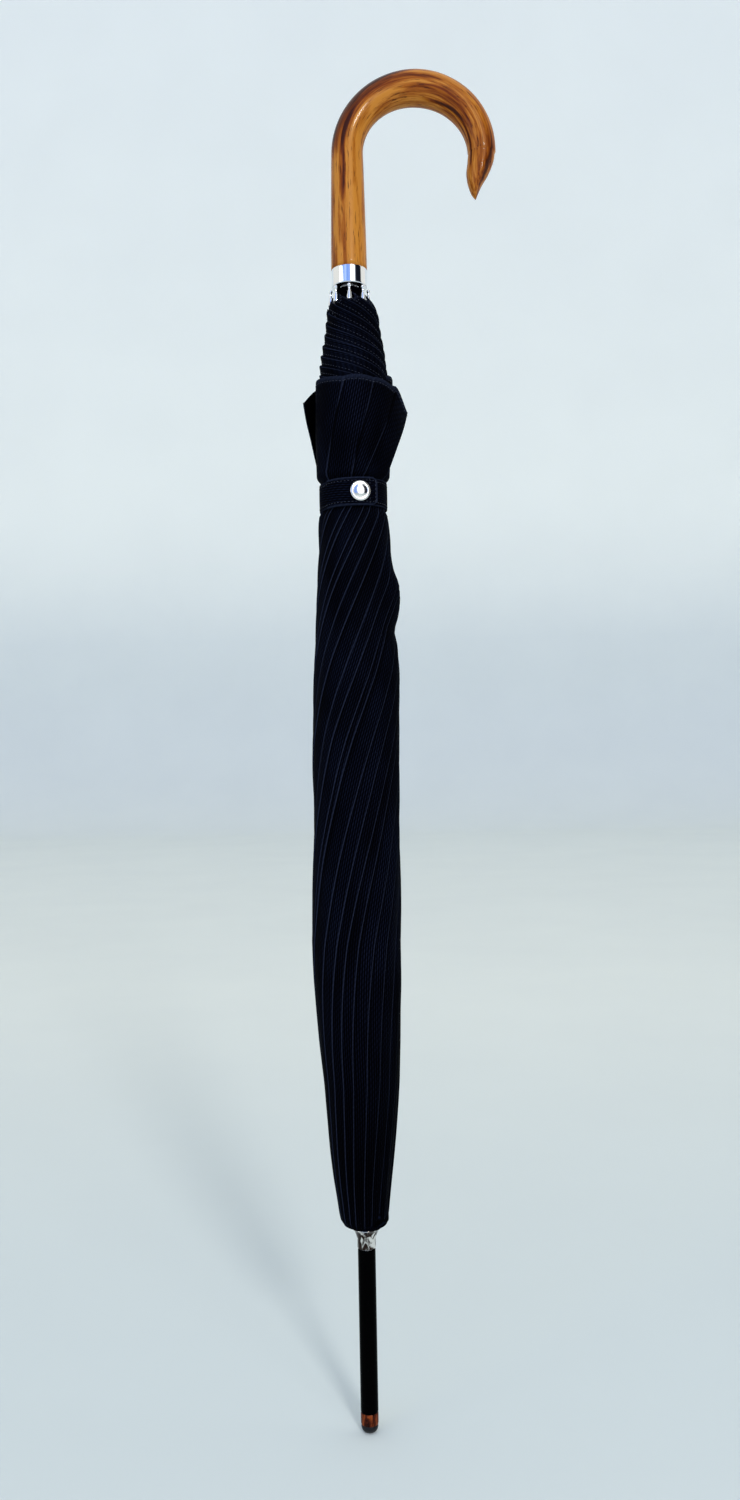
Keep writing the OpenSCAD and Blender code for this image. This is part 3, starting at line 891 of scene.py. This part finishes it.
def rolled_folds(cloth):
    """Twenty folds rolled round the stick, from the crown to the strap."""
    chance = random.Random(cloth.seed)
    count, folds = 20, Folds(cloth.thickness)
    twist = running_total(BUNDLE_TWIST, BUNDLE_FOOT, BUNDLE_TOP)
    starts, laps, heights = [], [], []
    for k in range(count):
        starts.append(2 * math.pi * (k + chance.uniform(-0.33, 0.33)) / count)
        laps.append(k % 2 == 0 or chance.random() < 0.35)
        heights.append(cloth.proud * chance.uniform(0.75, 1.25))

    def edge_at(k, z):
        drift = noise.noise(Vector((k % count * 7.3, z * 0.005, 4.1))) * 0.07
        return starts[k % count] + 2 * math.pi * (k // count) + between(twist, z) + drift

    for k in range(count):
        lap_in, lap_out = laps[k], laps[(k + 1) % count]

        def where(u, t, k=k, lap_in=lap_in, lap_out=lap_out):
            z = BUNDLE_FOOT + (BUNDLE_TOP - BUNDLE_FOOT) * t
            base = eased(BUNDLE_R, z)
            left = edge_at(k, z) - (3.2 if lap_in else -0.22) / base
            right = edge_at(k + 1, z) - (-0.3 if lap_out else 0.22) / base
            u = u - 0.11 * math.sin(2 * math.pi * u)
            turn = left + (right - left) * u
            start = -cloth.thickness - 0.25 if lap_in else -0.25
            stop = heights[k] if lap_out else -0.2
            crest = 0.35 * smoothstep(u, 0.0, 0.3) * (1 - smoothstep(u, 0.72, 1.0))
            lift = start * (1 - smoothstep(u, 0.0, 0.30)) + stop * smoothstep(u, 0.45, 1.0) + crest
            lift *= smoothstep(z, BUNDLE_FOOT, 146)
            return base + lift + bundle_lift(turn, z), turn, z, between(BUNDLE_SHIFT, z)

        folds.strip(where, 130, 9, bright=(0.9, 0.0 if lap_in else 0.6), under=3.2 if lap_in else 0.0,
                    fade=(190, 330))
    settle(furl(folds.mesh("rolled_folds")), "root", "canopy_cloth")


def fan_where(k):
    """Outer face of fan fold k, above the strap."""
    (a0, a1), (b0, b1) = FAN_EDGES[k], FAN_EDGES[k + 1]
    (z0, z1), (r0, r1) = FAN_HEM_Z[k], FAN_HEM_R[k]

    def where(u, t):
        left = math.radians(a0 + (a1 - a0) * t) - FAN_TUCK[k]
        right = math.radians(b0 + (b1 - b0) * t)
        turn = left + (right - left) * u
        hem_z = z0 + (z1 - z0) * smoothstep(u, 0.0, 1.0) + 1.2 * math.sin(math.pi * u)
        hem_r = r0 + (r1 - r0) * u - 0.7 * (1 - smoothstep(u, 0.0, 0.18))
        z = FAN_FOOT + (hem_z - FAN_FOOT) * t
        belly = FAN_BELLY[k] * math.sin(math.pi * t) * (0.4 + 0.6 * math.sin(math.pi * u))
        foot = (20.3 + 0.6 * u - 0.7 * (1 - smoothstep(u, 0.0, 0.2))
                + 3.3 * smoothstep(z, 628.6, 634.0) * (1 - t))
        wave = noise.noise(Vector((turn * 2.2, z * 0.05, k * 3.7))) * 0.7 * t
        return foot + (hem_r - foot) * t + belly + wave, turn, z, 0.0

    return where


def fan_folds(cloth):
    """Eight wide folds that stand open like petals above the strap."""
    folds = Folds(cloth.thickness)
    for k in range(8):
        folds.strip(fan_where(k), 46, 22, bright=(0.8, 0.0), top_bright=0.7, under=FAN_TUCK[k] * 20)
    settle(furl(folds.mesh("fan_folds")), "root", "canopy_cloth")
    runs = []
    for k in range(8):
        where = fan_where(k)
        runs.append([on_face(where(step / 30, 0.955), 0.05) for step in range(2, 31)])
    stitches = stitch_runs("fan_stitches", runs, cloth)
    settle(furl(stitches), "root", "canopy_cloth")


def neck_where(k, twist, proud):
    def where(u, t):
        top = 753.2 - 5.0 * 4 * u * (1 - u)
        z = NECK_FOOT + (top - NECK_FOOT) * t
        base = eased(NECK_R, z)
        start = FIRST_AZ + k * SECTOR + between(twist, z) - twist[-1][1]
        turn = start - 0.10 + (SECTOR + 0.12) * u
        lift = -1.2 * (1 - smoothstep(u, 0.0, 0.35)) + proud * smoothstep(u, 0.35, 1.0)
        lift += noise.noise(Vector((turn * 1.7, z * 0.06, k * 5.1))) * 0.5
        lift *= 1 - 0.8 * smoothstep(z, 742, 753)
        return base + lift, turn, z, between(NECK_SHIFT, z)

    return where


def neck_folds(cloth):
    """Eight folds wound tightly round the rib ends, from inside the fan to the rib points."""
    twist = running_total(NECK_TWIST, NECK_FOOT, 754.0)
    folds = Folds(cloth.thickness)
    wheres = [neck_where(k, twist, cloth.proud * 1.3) for k in range(RIBS)]
    for where in wheres:
        folds.strip(where, 100, 11, bright=(0.7, 0.0), top_bright=0.6, under=2.2)
    settle(furl(folds.mesh("neck_folds")), "root", "canopy_cloth")
    runs = [[on_face(where(0.2 + 0.8 * step / 60, 0.972), 0.05) for step in range(61)] for where in wheres]
    runs += [[on_face(where(0.45, 0.06 + 0.9 * step / 80), 0.05) for step in range(81)] for where in wheres]
    settle(furl(stitch_runs("neck_stitches", runs, cloth)), "root", "canopy_cloth")


def lining_tube():
    """The inner turns of cloth, seen only through the gaps between folds."""
    outline = [(z, eased(BUNDLE_R, z) - 2.4) for z in range(139, 632, 8)]
    outline += [(640, 17.9), (660, 18.3), (690, 18.4), (715, 17.2), (730, 15.6), (741, 13.4), (746, 11.2),
                (752, 9.9), (758, 9.4)]
    profile = [(radius, z) for z, radius in outline]
    profile += [(radius - 0.5, z) for z, radius in outline[::-1]]
    points, faces = lathe(profile, 48)
    points = [(x + between(BUNDLE_SHIFT, z), y, z) for x, y, z in points]
    weave = [(math.atan2(y, x) * 20, z) for x, y, z in points]
    # Painted shade over the whole tube, seen in the gaps between folds.
    marks = {"edge": [0.0] * len(points), "hollow": [1.0] * len(points)}
    made = outward(piece("lining_tube", points, faces, "twill_cloth", weave, marks))
    settle(furl(made), "root", "canopy_cloth")


def crown_cap():
    """The cloth's closed centre under the open cap."""
    low, high = node_mm("canopy_crown")
    profile = [(5.3, low.z + 0.1), (9.5, low.z + 0.1, 0.6), (12.4, low.z + 1.3, 1.0),
               (13.9, low.z + 2.2, 0.8), (14.4, low.z + 3.4, 0.6), (14.4, high.z + 1.2, 0.3),
               (13.8, high.z + 1.2, 0.2), (13.6, low.z + 3.6, 0.6), (12.0, low.z + 2.2, 1.0),
               (9.3, low.z + 0.9, 0.5), (5.3, low.z + 0.8)]
    points, faces = lathe(softened(profile, 0.4), 72)
    weave = [(x, y + z * 0.6) for x, y, z in points]
    # Painted shade over the crown cloth under the open cap.
    marks = {"edge": [0.0] * len(points), "hollow": [0.6] * len(points)}
    made = outward(piece("crown_cap", points, faces, "twill_cloth", weave, marks))
    settle(made, "root", "canopy_cloth", "canopy_crown")


GORE_R = 15.1
GORE_FOOT = 141.0
GORE_HEM = 746.0
HINGE_Z = 143.5
FLARE = 0.74


def gore_where(number, scallop, columns):
    """Outer face of a gore: a seam on its rib at u = 0, the next seam at u = 1."""
    middle = FIRST_AZ + (number - 0.5) * SECTOR

    def share_to_turn(u):
        inner = (u * (columns - 1) - 1) / (columns - 3)
        if inner < -1e-6 or inner > 1 + 1e-6:
            return middle + (SECTOR / 2 - 0.012) * (1 if inner > 0.5 else -1), min(1.0, max(0.0, inner))
        share = min(1.0, max(0.0, inner))
        place = 0.5 - math.sin(math.asin(1 - 2 * share) / 3)
        return middle + math.asin((place - 0.5) * 10 / GORE_R), share

    def where(u, t):
        turn, share = share_to_turn(u)
        hem = GORE_HEM - scallop * 4 * share * (1 - share)
        return GORE_R, turn, GORE_FOOT + (hem - GORE_FOOT) * t, 0.0

    def cloth(u, t):
        share = share_to_turn(u)[1]
        z = where(u, t)[2]
        return (share - 0.5) * FLARE * (z - HINGE_Z), z

    return where, cloth


def gores(cloth):
    """The eight gores, each from its rib's seam to the next one, with their hem stitches, in place of the CAD
    gores.
    """
    columns = 42
    for number in range(1, RIBS + 1):
        where, in_cloth = gore_where(number, cloth.scallop, columns)
        folds = Folds(0.6)
        folds.strip(where, 60, columns, bright=(0.0, 0.0), cloth=in_cloth)
        made = folds.mesh(f"gore_cloth_{number}")
        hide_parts(f"canopy_gore_{number}")
        spread(made)
        runs = [[on_face(where(step / 240, 0.99), 0.03) for step in range(6, 235)]]
        spread(stitch_runs(f"gore_stitches_{number}", runs, cloth))


def spread(made):
    """Bakes the piece's place into its mesh."""
    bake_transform(made)
    return made


# ---------------------------------------------------------------- stitches and strap


def on_face(place, above):
    """A point a little above the outer face of a strip."""
    radius, turn, z, shift = place
    x, y, z = polar(radius + above, turn, z)
    return (x + shift, y, z)


def stitch_tree():
    """Geometry Nodes: a short stitch laid along every path, again and again."""
    tree = bpy.data.node_groups.new("stitch_run", "GeometryNodeTree")
    sockets = {"Paths": "NodeSocketGeometry", "Spacing": "NodeSocketFloat", "Length": "NodeSocketFloat",
               "Width": "NodeSocketFloat", "Thread": "NodeSocketMaterial"}
    for name, kind in sockets.items():
        tree.interface.new_socket(name=name, in_out="INPUT", socket_type=kind)
    tree.interface.new_socket(name="Stitches", in_out="OUTPUT", socket_type="NodeSocketGeometry")

    def add(kind, settings=None, **feeds):
        made = tree.nodes.new(kind)
        for key, value in (settings or {}).items():
            setattr(made, key, value)
        for key, value in feeds.items():
            wanted = key.replace("_", " ")
            socket = next(s for s in made.inputs if s.enabled and s.name == wanted)
            if isinstance(value, bpy.types.NodeSocket):
                tree.links.new(value, socket)
            else:
                socket.default_value = value
        return made

    given = tree.nodes.new("NodeGroupInput").outputs
    curve = add("GeometryNodeMeshToCurve", Mesh=given["Paths"])
    even = add("GeometryNodeResampleCurve", {"mode": "LENGTH"}, Curve=curve.outputs[0],
               Length=given["Spacing"])
    bead = add("GeometryNodeMeshUVSphere", Segments=6, Rings=4, Radius=0.5)
    size = add("ShaderNodeCombineXYZ", X=given["Width"], Y=given["Width"], Z=given["Length"])
    shaped = add("GeometryNodeTransform", Geometry=bead.outputs[0], Scale=size.outputs[0])
    along = add("GeometryNodeInputTangent")
    turn = add("FunctionNodeAlignRotationToVector", {"axis": "Z"}, Vector=along.outputs[0])
    laid = add("GeometryNodeInstanceOnPoints", Points=even.outputs[0], Instance=shaped.outputs[0],
               Rotation=turn.outputs[0])
    real = add("GeometryNodeRealizeInstances", Geometry=laid.outputs[0])
    thread = add("GeometryNodeSetMaterial", Geometry=real.outputs[0], Material=given["Thread"])
    smooth = add("GeometryNodeSetShadeSmooth", Geometry=thread.outputs[0])
    out = tree.nodes.new("NodeGroupOutput")
    tree.links.new(smooth.outputs[0], out.inputs[0])
    return tree


def stitch_runs(name, runs, cloth):
    """Rows of stitches along paths in millimetres, as one plain mesh."""
    tree = bpy.data.node_groups.get("stitch_run") or stitch_tree()
    points, edges = [], []
    for run in runs:
        edges += [(len(points) + k, len(points) + k + 1) for k in range(len(run) - 1)]
        points += run
    paths = bpy.data.meshes.new(name + "_paths")
    paths.from_pydata([(x * MM, y * MM, z * MM) for x, y, z in points], edges, [])
    source = bpy.data.objects.new(name + "_paths", paths)
    bpy.context.scene.collection.objects.link(source)
    modifier = source.modifiers.new("stitches", "NODES")
    modifier.node_group = tree
    values = {"Spacing": cloth.stitch * MM, "Length": cloth.stitch * 0.66 * MM, "Width": cloth.thread * MM,
              "Thread": finish("sewing_thread")}
    for item in tree.interface.items_tree:
        if item.in_out == "INPUT" and item.name in values:
            modifier[item.identifier] = values[item.name]
    source.update_tag()
    graph = bpy.context.evaluated_depsgraph_get()
    mesh = bpy.data.meshes.new_from_object(source.evaluated_get(graph))
    mesh.name = name
    bpy.data.objects.remove(source)
    made = bpy.data.objects.new(name, mesh)
    bpy.context.scene.collection.objects.link(made)
    if not mesh.polygons:
        raise RuntimeError(f"{name} has no stitches")
    return made


STRAP_Z = 620.0
STRAP_R = 21.5
STRAP_TILT = 0.035
SNAP_AZ = -79


def strap_height(turn, level, half=8.6):
    """Height on the strap. It lies a little higher on its right side."""
    return STRAP_Z + (level * 2 - 1) * half + STRAP_R * STRAP_TILT * math.cos(turn)


def gather(made):
    """Gives a strap part a mesh of its own."""
    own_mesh(made)
    return made


def strap_ring(cloth):
    folds = Folds(0.9)
    first = math.radians(-84)

    def where(u, t):
        turn = first + 2 * math.pi * t
        dent = 0.18 * math.sin(turn * 8) + 0.12 * math.sin(turn * 5 + 1)
        bow = 0.15 * math.sin(math.pi * u)
        return 22.4 + dent + bow, turn, strap_height(turn, u), 0.0

    folds.strip(where, 130, 11, bright=(0.6, 0.6))
    settle(gather(folds.mesh("strap_ring")), "rib_1", "canopy_cloth", "strap")
    runs = [[on_face(where(level, step / 200), 0.05) for step in range(200)] for level in (0.11, 0.89)]
    settle(gather(stitch_runs("strap_ring_stitches", runs, cloth)), "rib_1", "canopy_cloth")


def strap_end(cloth):
    """The free end of the strap, lapped over the ring and closed by the snap."""
    folds = Folds(0.9)
    first, last = math.radians(-134.5), math.radians(-50.5)

    def where(u, t):
        turn = first + (last - first) * t
        corner = smoothstep(t, 0.90, 1.0) * 2.2
        level = 0.5 + (u - 0.5) * (1 - corner / 10)
        rise = 0.9 * smoothstep(t, 0.0, 0.25) + 0.2 * math.sin(math.pi * t * 3) * smoothstep(t, 0.1, 0.4)
        return 24.2 + rise + 0.12 * math.sin(math.pi * u), turn, strap_height(turn, level, half=8.7), 0.0

    folds.strip(where, 60, 11, bright=(0.8, 0.8), top_bright=1.0)
    settle(gather(folds.mesh("strap_end")), "strap_tab", "canopy_cloth", "strap_tab")
    runs = [[on_face(where(level, step / 90), 0.05) for step in range(88)] for level in (0.11, 0.89)]
    for share in (0.955, 0.84):
        runs.append([on_face(where(0.08 + 0.84 * step / 20, share), 0.05) for step in range(21)])
    settle(gather(stitch_runs("strap_end_stitches", runs, cloth)), "strap_tab", "canopy_cloth")


def snap_parts():
    """The snap: a domed cap with a plain raised ring, and the stud under it."""
    low, high = node_mm("snap_cap")
    turn = math.radians(SNAP_AZ)
    out = Vector((math.cos(turn), math.sin(turn), 0.0))
    side = Vector((-math.sin(turn), math.cos(turn), 0.0))
    up = Vector((0, 0, 1))

    def outwards(foot):
        return lambda p: out * (foot + p.z) + side * p.x + up * (STRAP_Z + p.y)

    dome = [(0.0, 0.0), (6.2, 0.0, 0.2), (6.6, 0.35, 0.3), (6.45, 0.95, 0.3), (5.7, 1.35, 0.3),
            (4.9, 1.38, 0.2), (4.55, 1.22, 0.15), (4.2, 1.40, 0.2), (2.6, 1.85, 0.8), (0.0, 2.05)]
    made = turned("snap_dome", dome, "polished_nickel", 64, 0.3, outwards(25.3))
    settle(gather(made), "strap_tab", "snap_nickel", "snap_cap")
    stud = [(0.0, 0.0), (3.9, 0.0, 0.2), (4.0, 0.5, 0.2), (2.2, 0.6, 0.3), (1.7, 0.9, 0.2), (1.9, 1.4, 0.3),
            (0.0, 1.6)]
    made = turned("snap_stud", stud, "polished_nickel", 40, 0.2, outwards(22.4))
    settle(gather(made), "rib_1", "snap_nickel", "snap_stud")


# ---------------------------------------------------------------- stage


def backdrop():
    """A pale floor that curves up to a wall, well clear of the opened canopy."""
    wall, cove, side = 6.5, 0.9, 9.0
    profile = [(-side, 0.0), (-1.0, 0.0), (wall - cove, 0.0)]
    for turn in (math.pi * k / 48 for k in range(1, 25)):
        profile.append((wall - cove + cove * math.sin(turn), cove - cove * math.cos(turn)))
    profile += [(wall, 3.0), (wall, 8.0)]
    points = [(x / MM, y / MM, z / MM) for y, z in profile for x in (-side, side)]
    faces = [(2 * k, 2 * k + 1, 2 * k + 3, 2 * k + 2) for k in range(len(profile) - 1)]
    piece("backdrop", points, faces, "pale_floor")


def room():
    """The surroundings that the bright metal reflects: a pale room, a window and a dark doorway.

    The camera itself sees a plain pale backdrop in their place.
    """
    world = bpy.data.worlds.new("room")
    bpy.context.scene.world = world
    f = Finish(world)
    x, y, z = f.split(f.node("ShaderNodeTexCoord", out=0))
    heading = f.node("ShaderNodeMath", {"operation": "ARCTAN2"}, x, y * -1) / (2 * math.pi) + 0.5
    cream, white, dark = (0.62, 0.62, 0.58), (1.15, 1.2, 1.25), (0.005, 0.006, 0.012)
    walls = [(-180, cream), (-54, cream), (-48, (0.03, 0.07, 0.20)), (-40, (0.14, 0.27, 0.72)),
             (-24, (0.40, 0.55, 0.90)), (-12, (0.16, 0.30, 0.72)), (6, (0.26, 0.38, 0.74)), (11, white),
             (34, white), (39, (0.30, 0.33, 0.38)), (44, dark), (78, dark), (84, cream), (180, cream)]
    stops = [((turn + 180) / 360, colour) for turn, colour in walls]
    around = f.node("ShaderNodeValToRGB", {"stops": stops}, heading)
    level = z.span(-0.62, -0.50) * z.span(0.85, 0.70)
    colour = f.mix(level, (0.62, 0.66, 0.69), around)
    seen = f.node("ShaderNodeLightPath")
    colour = f.mix(seen, colour, (0.53, 0.58, 0.60))
    shader = f.node("ShaderNodeBackground", None, colour, 1.40)
    f.node("ShaderNodeOutputWorld", None, shader)


def lights(stage):
    """A key light from the front right and a weak, wide fill from the front left."""
    for name, toward, reach, size, power, tint in (
            ("key", (0.28, -0.87, 0.41), 2.5, 0.4, stage.key_power, (1.0, 0.98, 0.95)),
            ("fill", (-0.75, -0.60, 0.28), 2.8, 1.6, stage.key_power * 0.25, (0.92, 0.96, 1.0))):
        lamp = bpy.data.lights.new(name, "AREA")
        lamp.shape = "DISK"
        lamp.size = size
        lamp.energy = power
        lamp.color = tint
        made = bpy.data.objects.new(name, lamp)
        spot = Vector(toward).normalized()
        made.location = Vector((0, 0, 0.46)) + spot * reach
        made.rotation_euler = spot.to_track_quat("Z", "Y").to_euler()
        bpy.context.scene.collection.objects.link(made)


EYE_X = 0.00814
EYE_Z = 0.4528
LENS_PER_METRE = 28.87 / 0.8


def camera(stage):
    """Looks level along +Y. The lens follows the distance, so the stick keeps its size in the picture."""
    lens = bpy.data.cameras.new("camera")
    lens.sensor_width = 36.0
    lens.lens = LENS_PER_METRE * stage.distance
    lens.clip_start = 0.02
    made = bpy.data.objects.new("camera", lens)
    made.location = (EYE_X, -stage.distance, EYE_Z)
    made.rotation_euler = (Vector((0, 1, 0)).to_track_quat("-Z", "Y").to_matrix().to_4x4()).to_euler()
    made.rotation_euler.rotate_axis("Z", -stage.roll)
    bpy.context.scene.collection.objects.link(made)
    bpy.context.scene.camera = made
    bpy.context.scene.view_settings.view_transform = "Standard"


# ---------------------------------------------------------------- operators


class UMBRELLA_OT_crook(bpy.types.Operator):
    """Builds the bent wooden handle"""

    bl_idname = "umbrella.crook"
    bl_label = "Crook handle"

    def execute(self, context):
        crook(context.scene.umbrella_stick)
        return {"FINISHED"}


class UMBRELLA_OT_fittings(bpy.types.Operator):
    """Turns the collar, the open cap, the ferrule and the rib points"""

    bl_idname = "umbrella.fittings"
    bl_label = "Turned fittings"

    def execute(self, context):
        chrome_fittings(context.scene.umbrella_stick)
        ferrule_fittings()
        rib_points(context.scene.umbrella_stick)
        return {"FINISHED"}


class UMBRELLA_OT_frame(bpy.types.Operator):
    """Gives the shaft, ribs, stretchers, runner and springs their finishes"""

    bl_idname = "umbrella.frame"
    bl_label = "Frame finishes"

    def execute(self, context):
        frame_finishes()
        return {"FINISHED"}


class UMBRELLA_OT_rolled(bpy.types.Operator):
    """Rolls the furled cloth round the stick, with its crown and lining"""

    bl_idname = "umbrella.rolled"
    bl_label = "Rolled cloth"

    def execute(self, context):
        crown_cap()
        lining_tube()
        rolled_folds(context.scene.umbrella_cloth)
        return {"FINISHED"}


class UMBRELLA_OT_fan(bpy.types.Operator):
    """Spreads the petals above the strap, with their hem stitches"""

    bl_idname = "umbrella.fan"
    bl_label = "Fan folds"

    def execute(self, context):
        fan_folds(context.scene.umbrella_cloth)
        return {"FINISHED"}


class UMBRELLA_OT_neck(bpy.types.Operator):
    """Winds the cloth round the rib ends"""

    bl_idname = "umbrella.neck"
    bl_label = "Neck folds"

    def execute(self, context):
        neck_folds(context.scene.umbrella_cloth)
        return {"FINISHED"}


class UMBRELLA_OT_gores(bpy.types.Operator):
    """Builds the gores that spread between the ribs"""

    bl_idname = "umbrella.gores"
    bl_label = "Gores"

    def execute(self, context):
        gores(context.scene.umbrella_cloth)
        return {"FINISHED"}


class UMBRELLA_OT_strap(bpy.types.Operator):
    """Builds the strap, its free end, the snap and their stitches"""

    bl_idname = "umbrella.strap"
    bl_label = "Strap and snap"

    def execute(self, context):
        strap_ring(context.scene.umbrella_cloth)
        strap_end(context.scene.umbrella_cloth)
        snap_parts()
        return {"FINISHED"}


class UMBRELLA_OT_stage(bpy.types.Operator):
    """Sets the floor, the room, the lights and the camera"""

    bl_idname = "umbrella.stage"
    bl_label = "Stage"

    def execute(self, context):
        backdrop()
        room()
        lights(context.scene.umbrella_stage)
        camera(context.scene.umbrella_stage)
        return {"FINISHED"}


OPERATORS = (UMBRELLA_OT_crook, UMBRELLA_OT_fittings, UMBRELLA_OT_frame, UMBRELLA_OT_rolled, UMBRELLA_OT_fan,
             UMBRELLA_OT_neck, UMBRELLA_OT_gores, UMBRELLA_OT_strap, UMBRELLA_OT_stage)
GROUPS = {"umbrella_stick": StickSettings, "umbrella_cloth": ClothSettings, "umbrella_finish": FinishSettings,
          "umbrella_stage": StageSettings}


class UMBRELLA_PT_panel(bpy.types.Panel):
    """Sizes and steps of the umbrella"""

    bl_idname = "UMBRELLA_PT_panel"
    bl_label = "Umbrella"
    bl_space_type = "VIEW_3D"
    bl_region_type = "UI"
    bl_category = "Umbrella"

    def draw(self, context):
        for key, group in GROUPS.items():
            box = self.layout.box()
            for field in group.__annotations__:
                box.prop(getattr(context.scene, key), field)
        for step in OPERATORS:
            self.layout.operator(step.bl_idname)


def register():
    for group in GROUPS.values():
        bpy.utils.register_class(group)
    for key, group in GROUPS.items():
        setattr(bpy.types.Scene, key, bpy.props.PointerProperty(type=group))
    for made in (*OPERATORS, UMBRELLA_PT_panel):
        bpy.utils.register_class(made)


def unregister():
    for made in (UMBRELLA_PT_panel, *reversed(OPERATORS)):
        bpy.utils.unregister_class(made)
    for key in GROUPS:
        delattr(bpy.types.Scene, key)
    for group in GROUPS.values():
        bpy.utils.unregister_class(group)


def main():
    register()
    for step in OPERATORS:
        group, name = step.bl_idname.split(".")
        getattr(getattr(bpy.ops, group), name)()


if __name__ == "__main__":
    main()
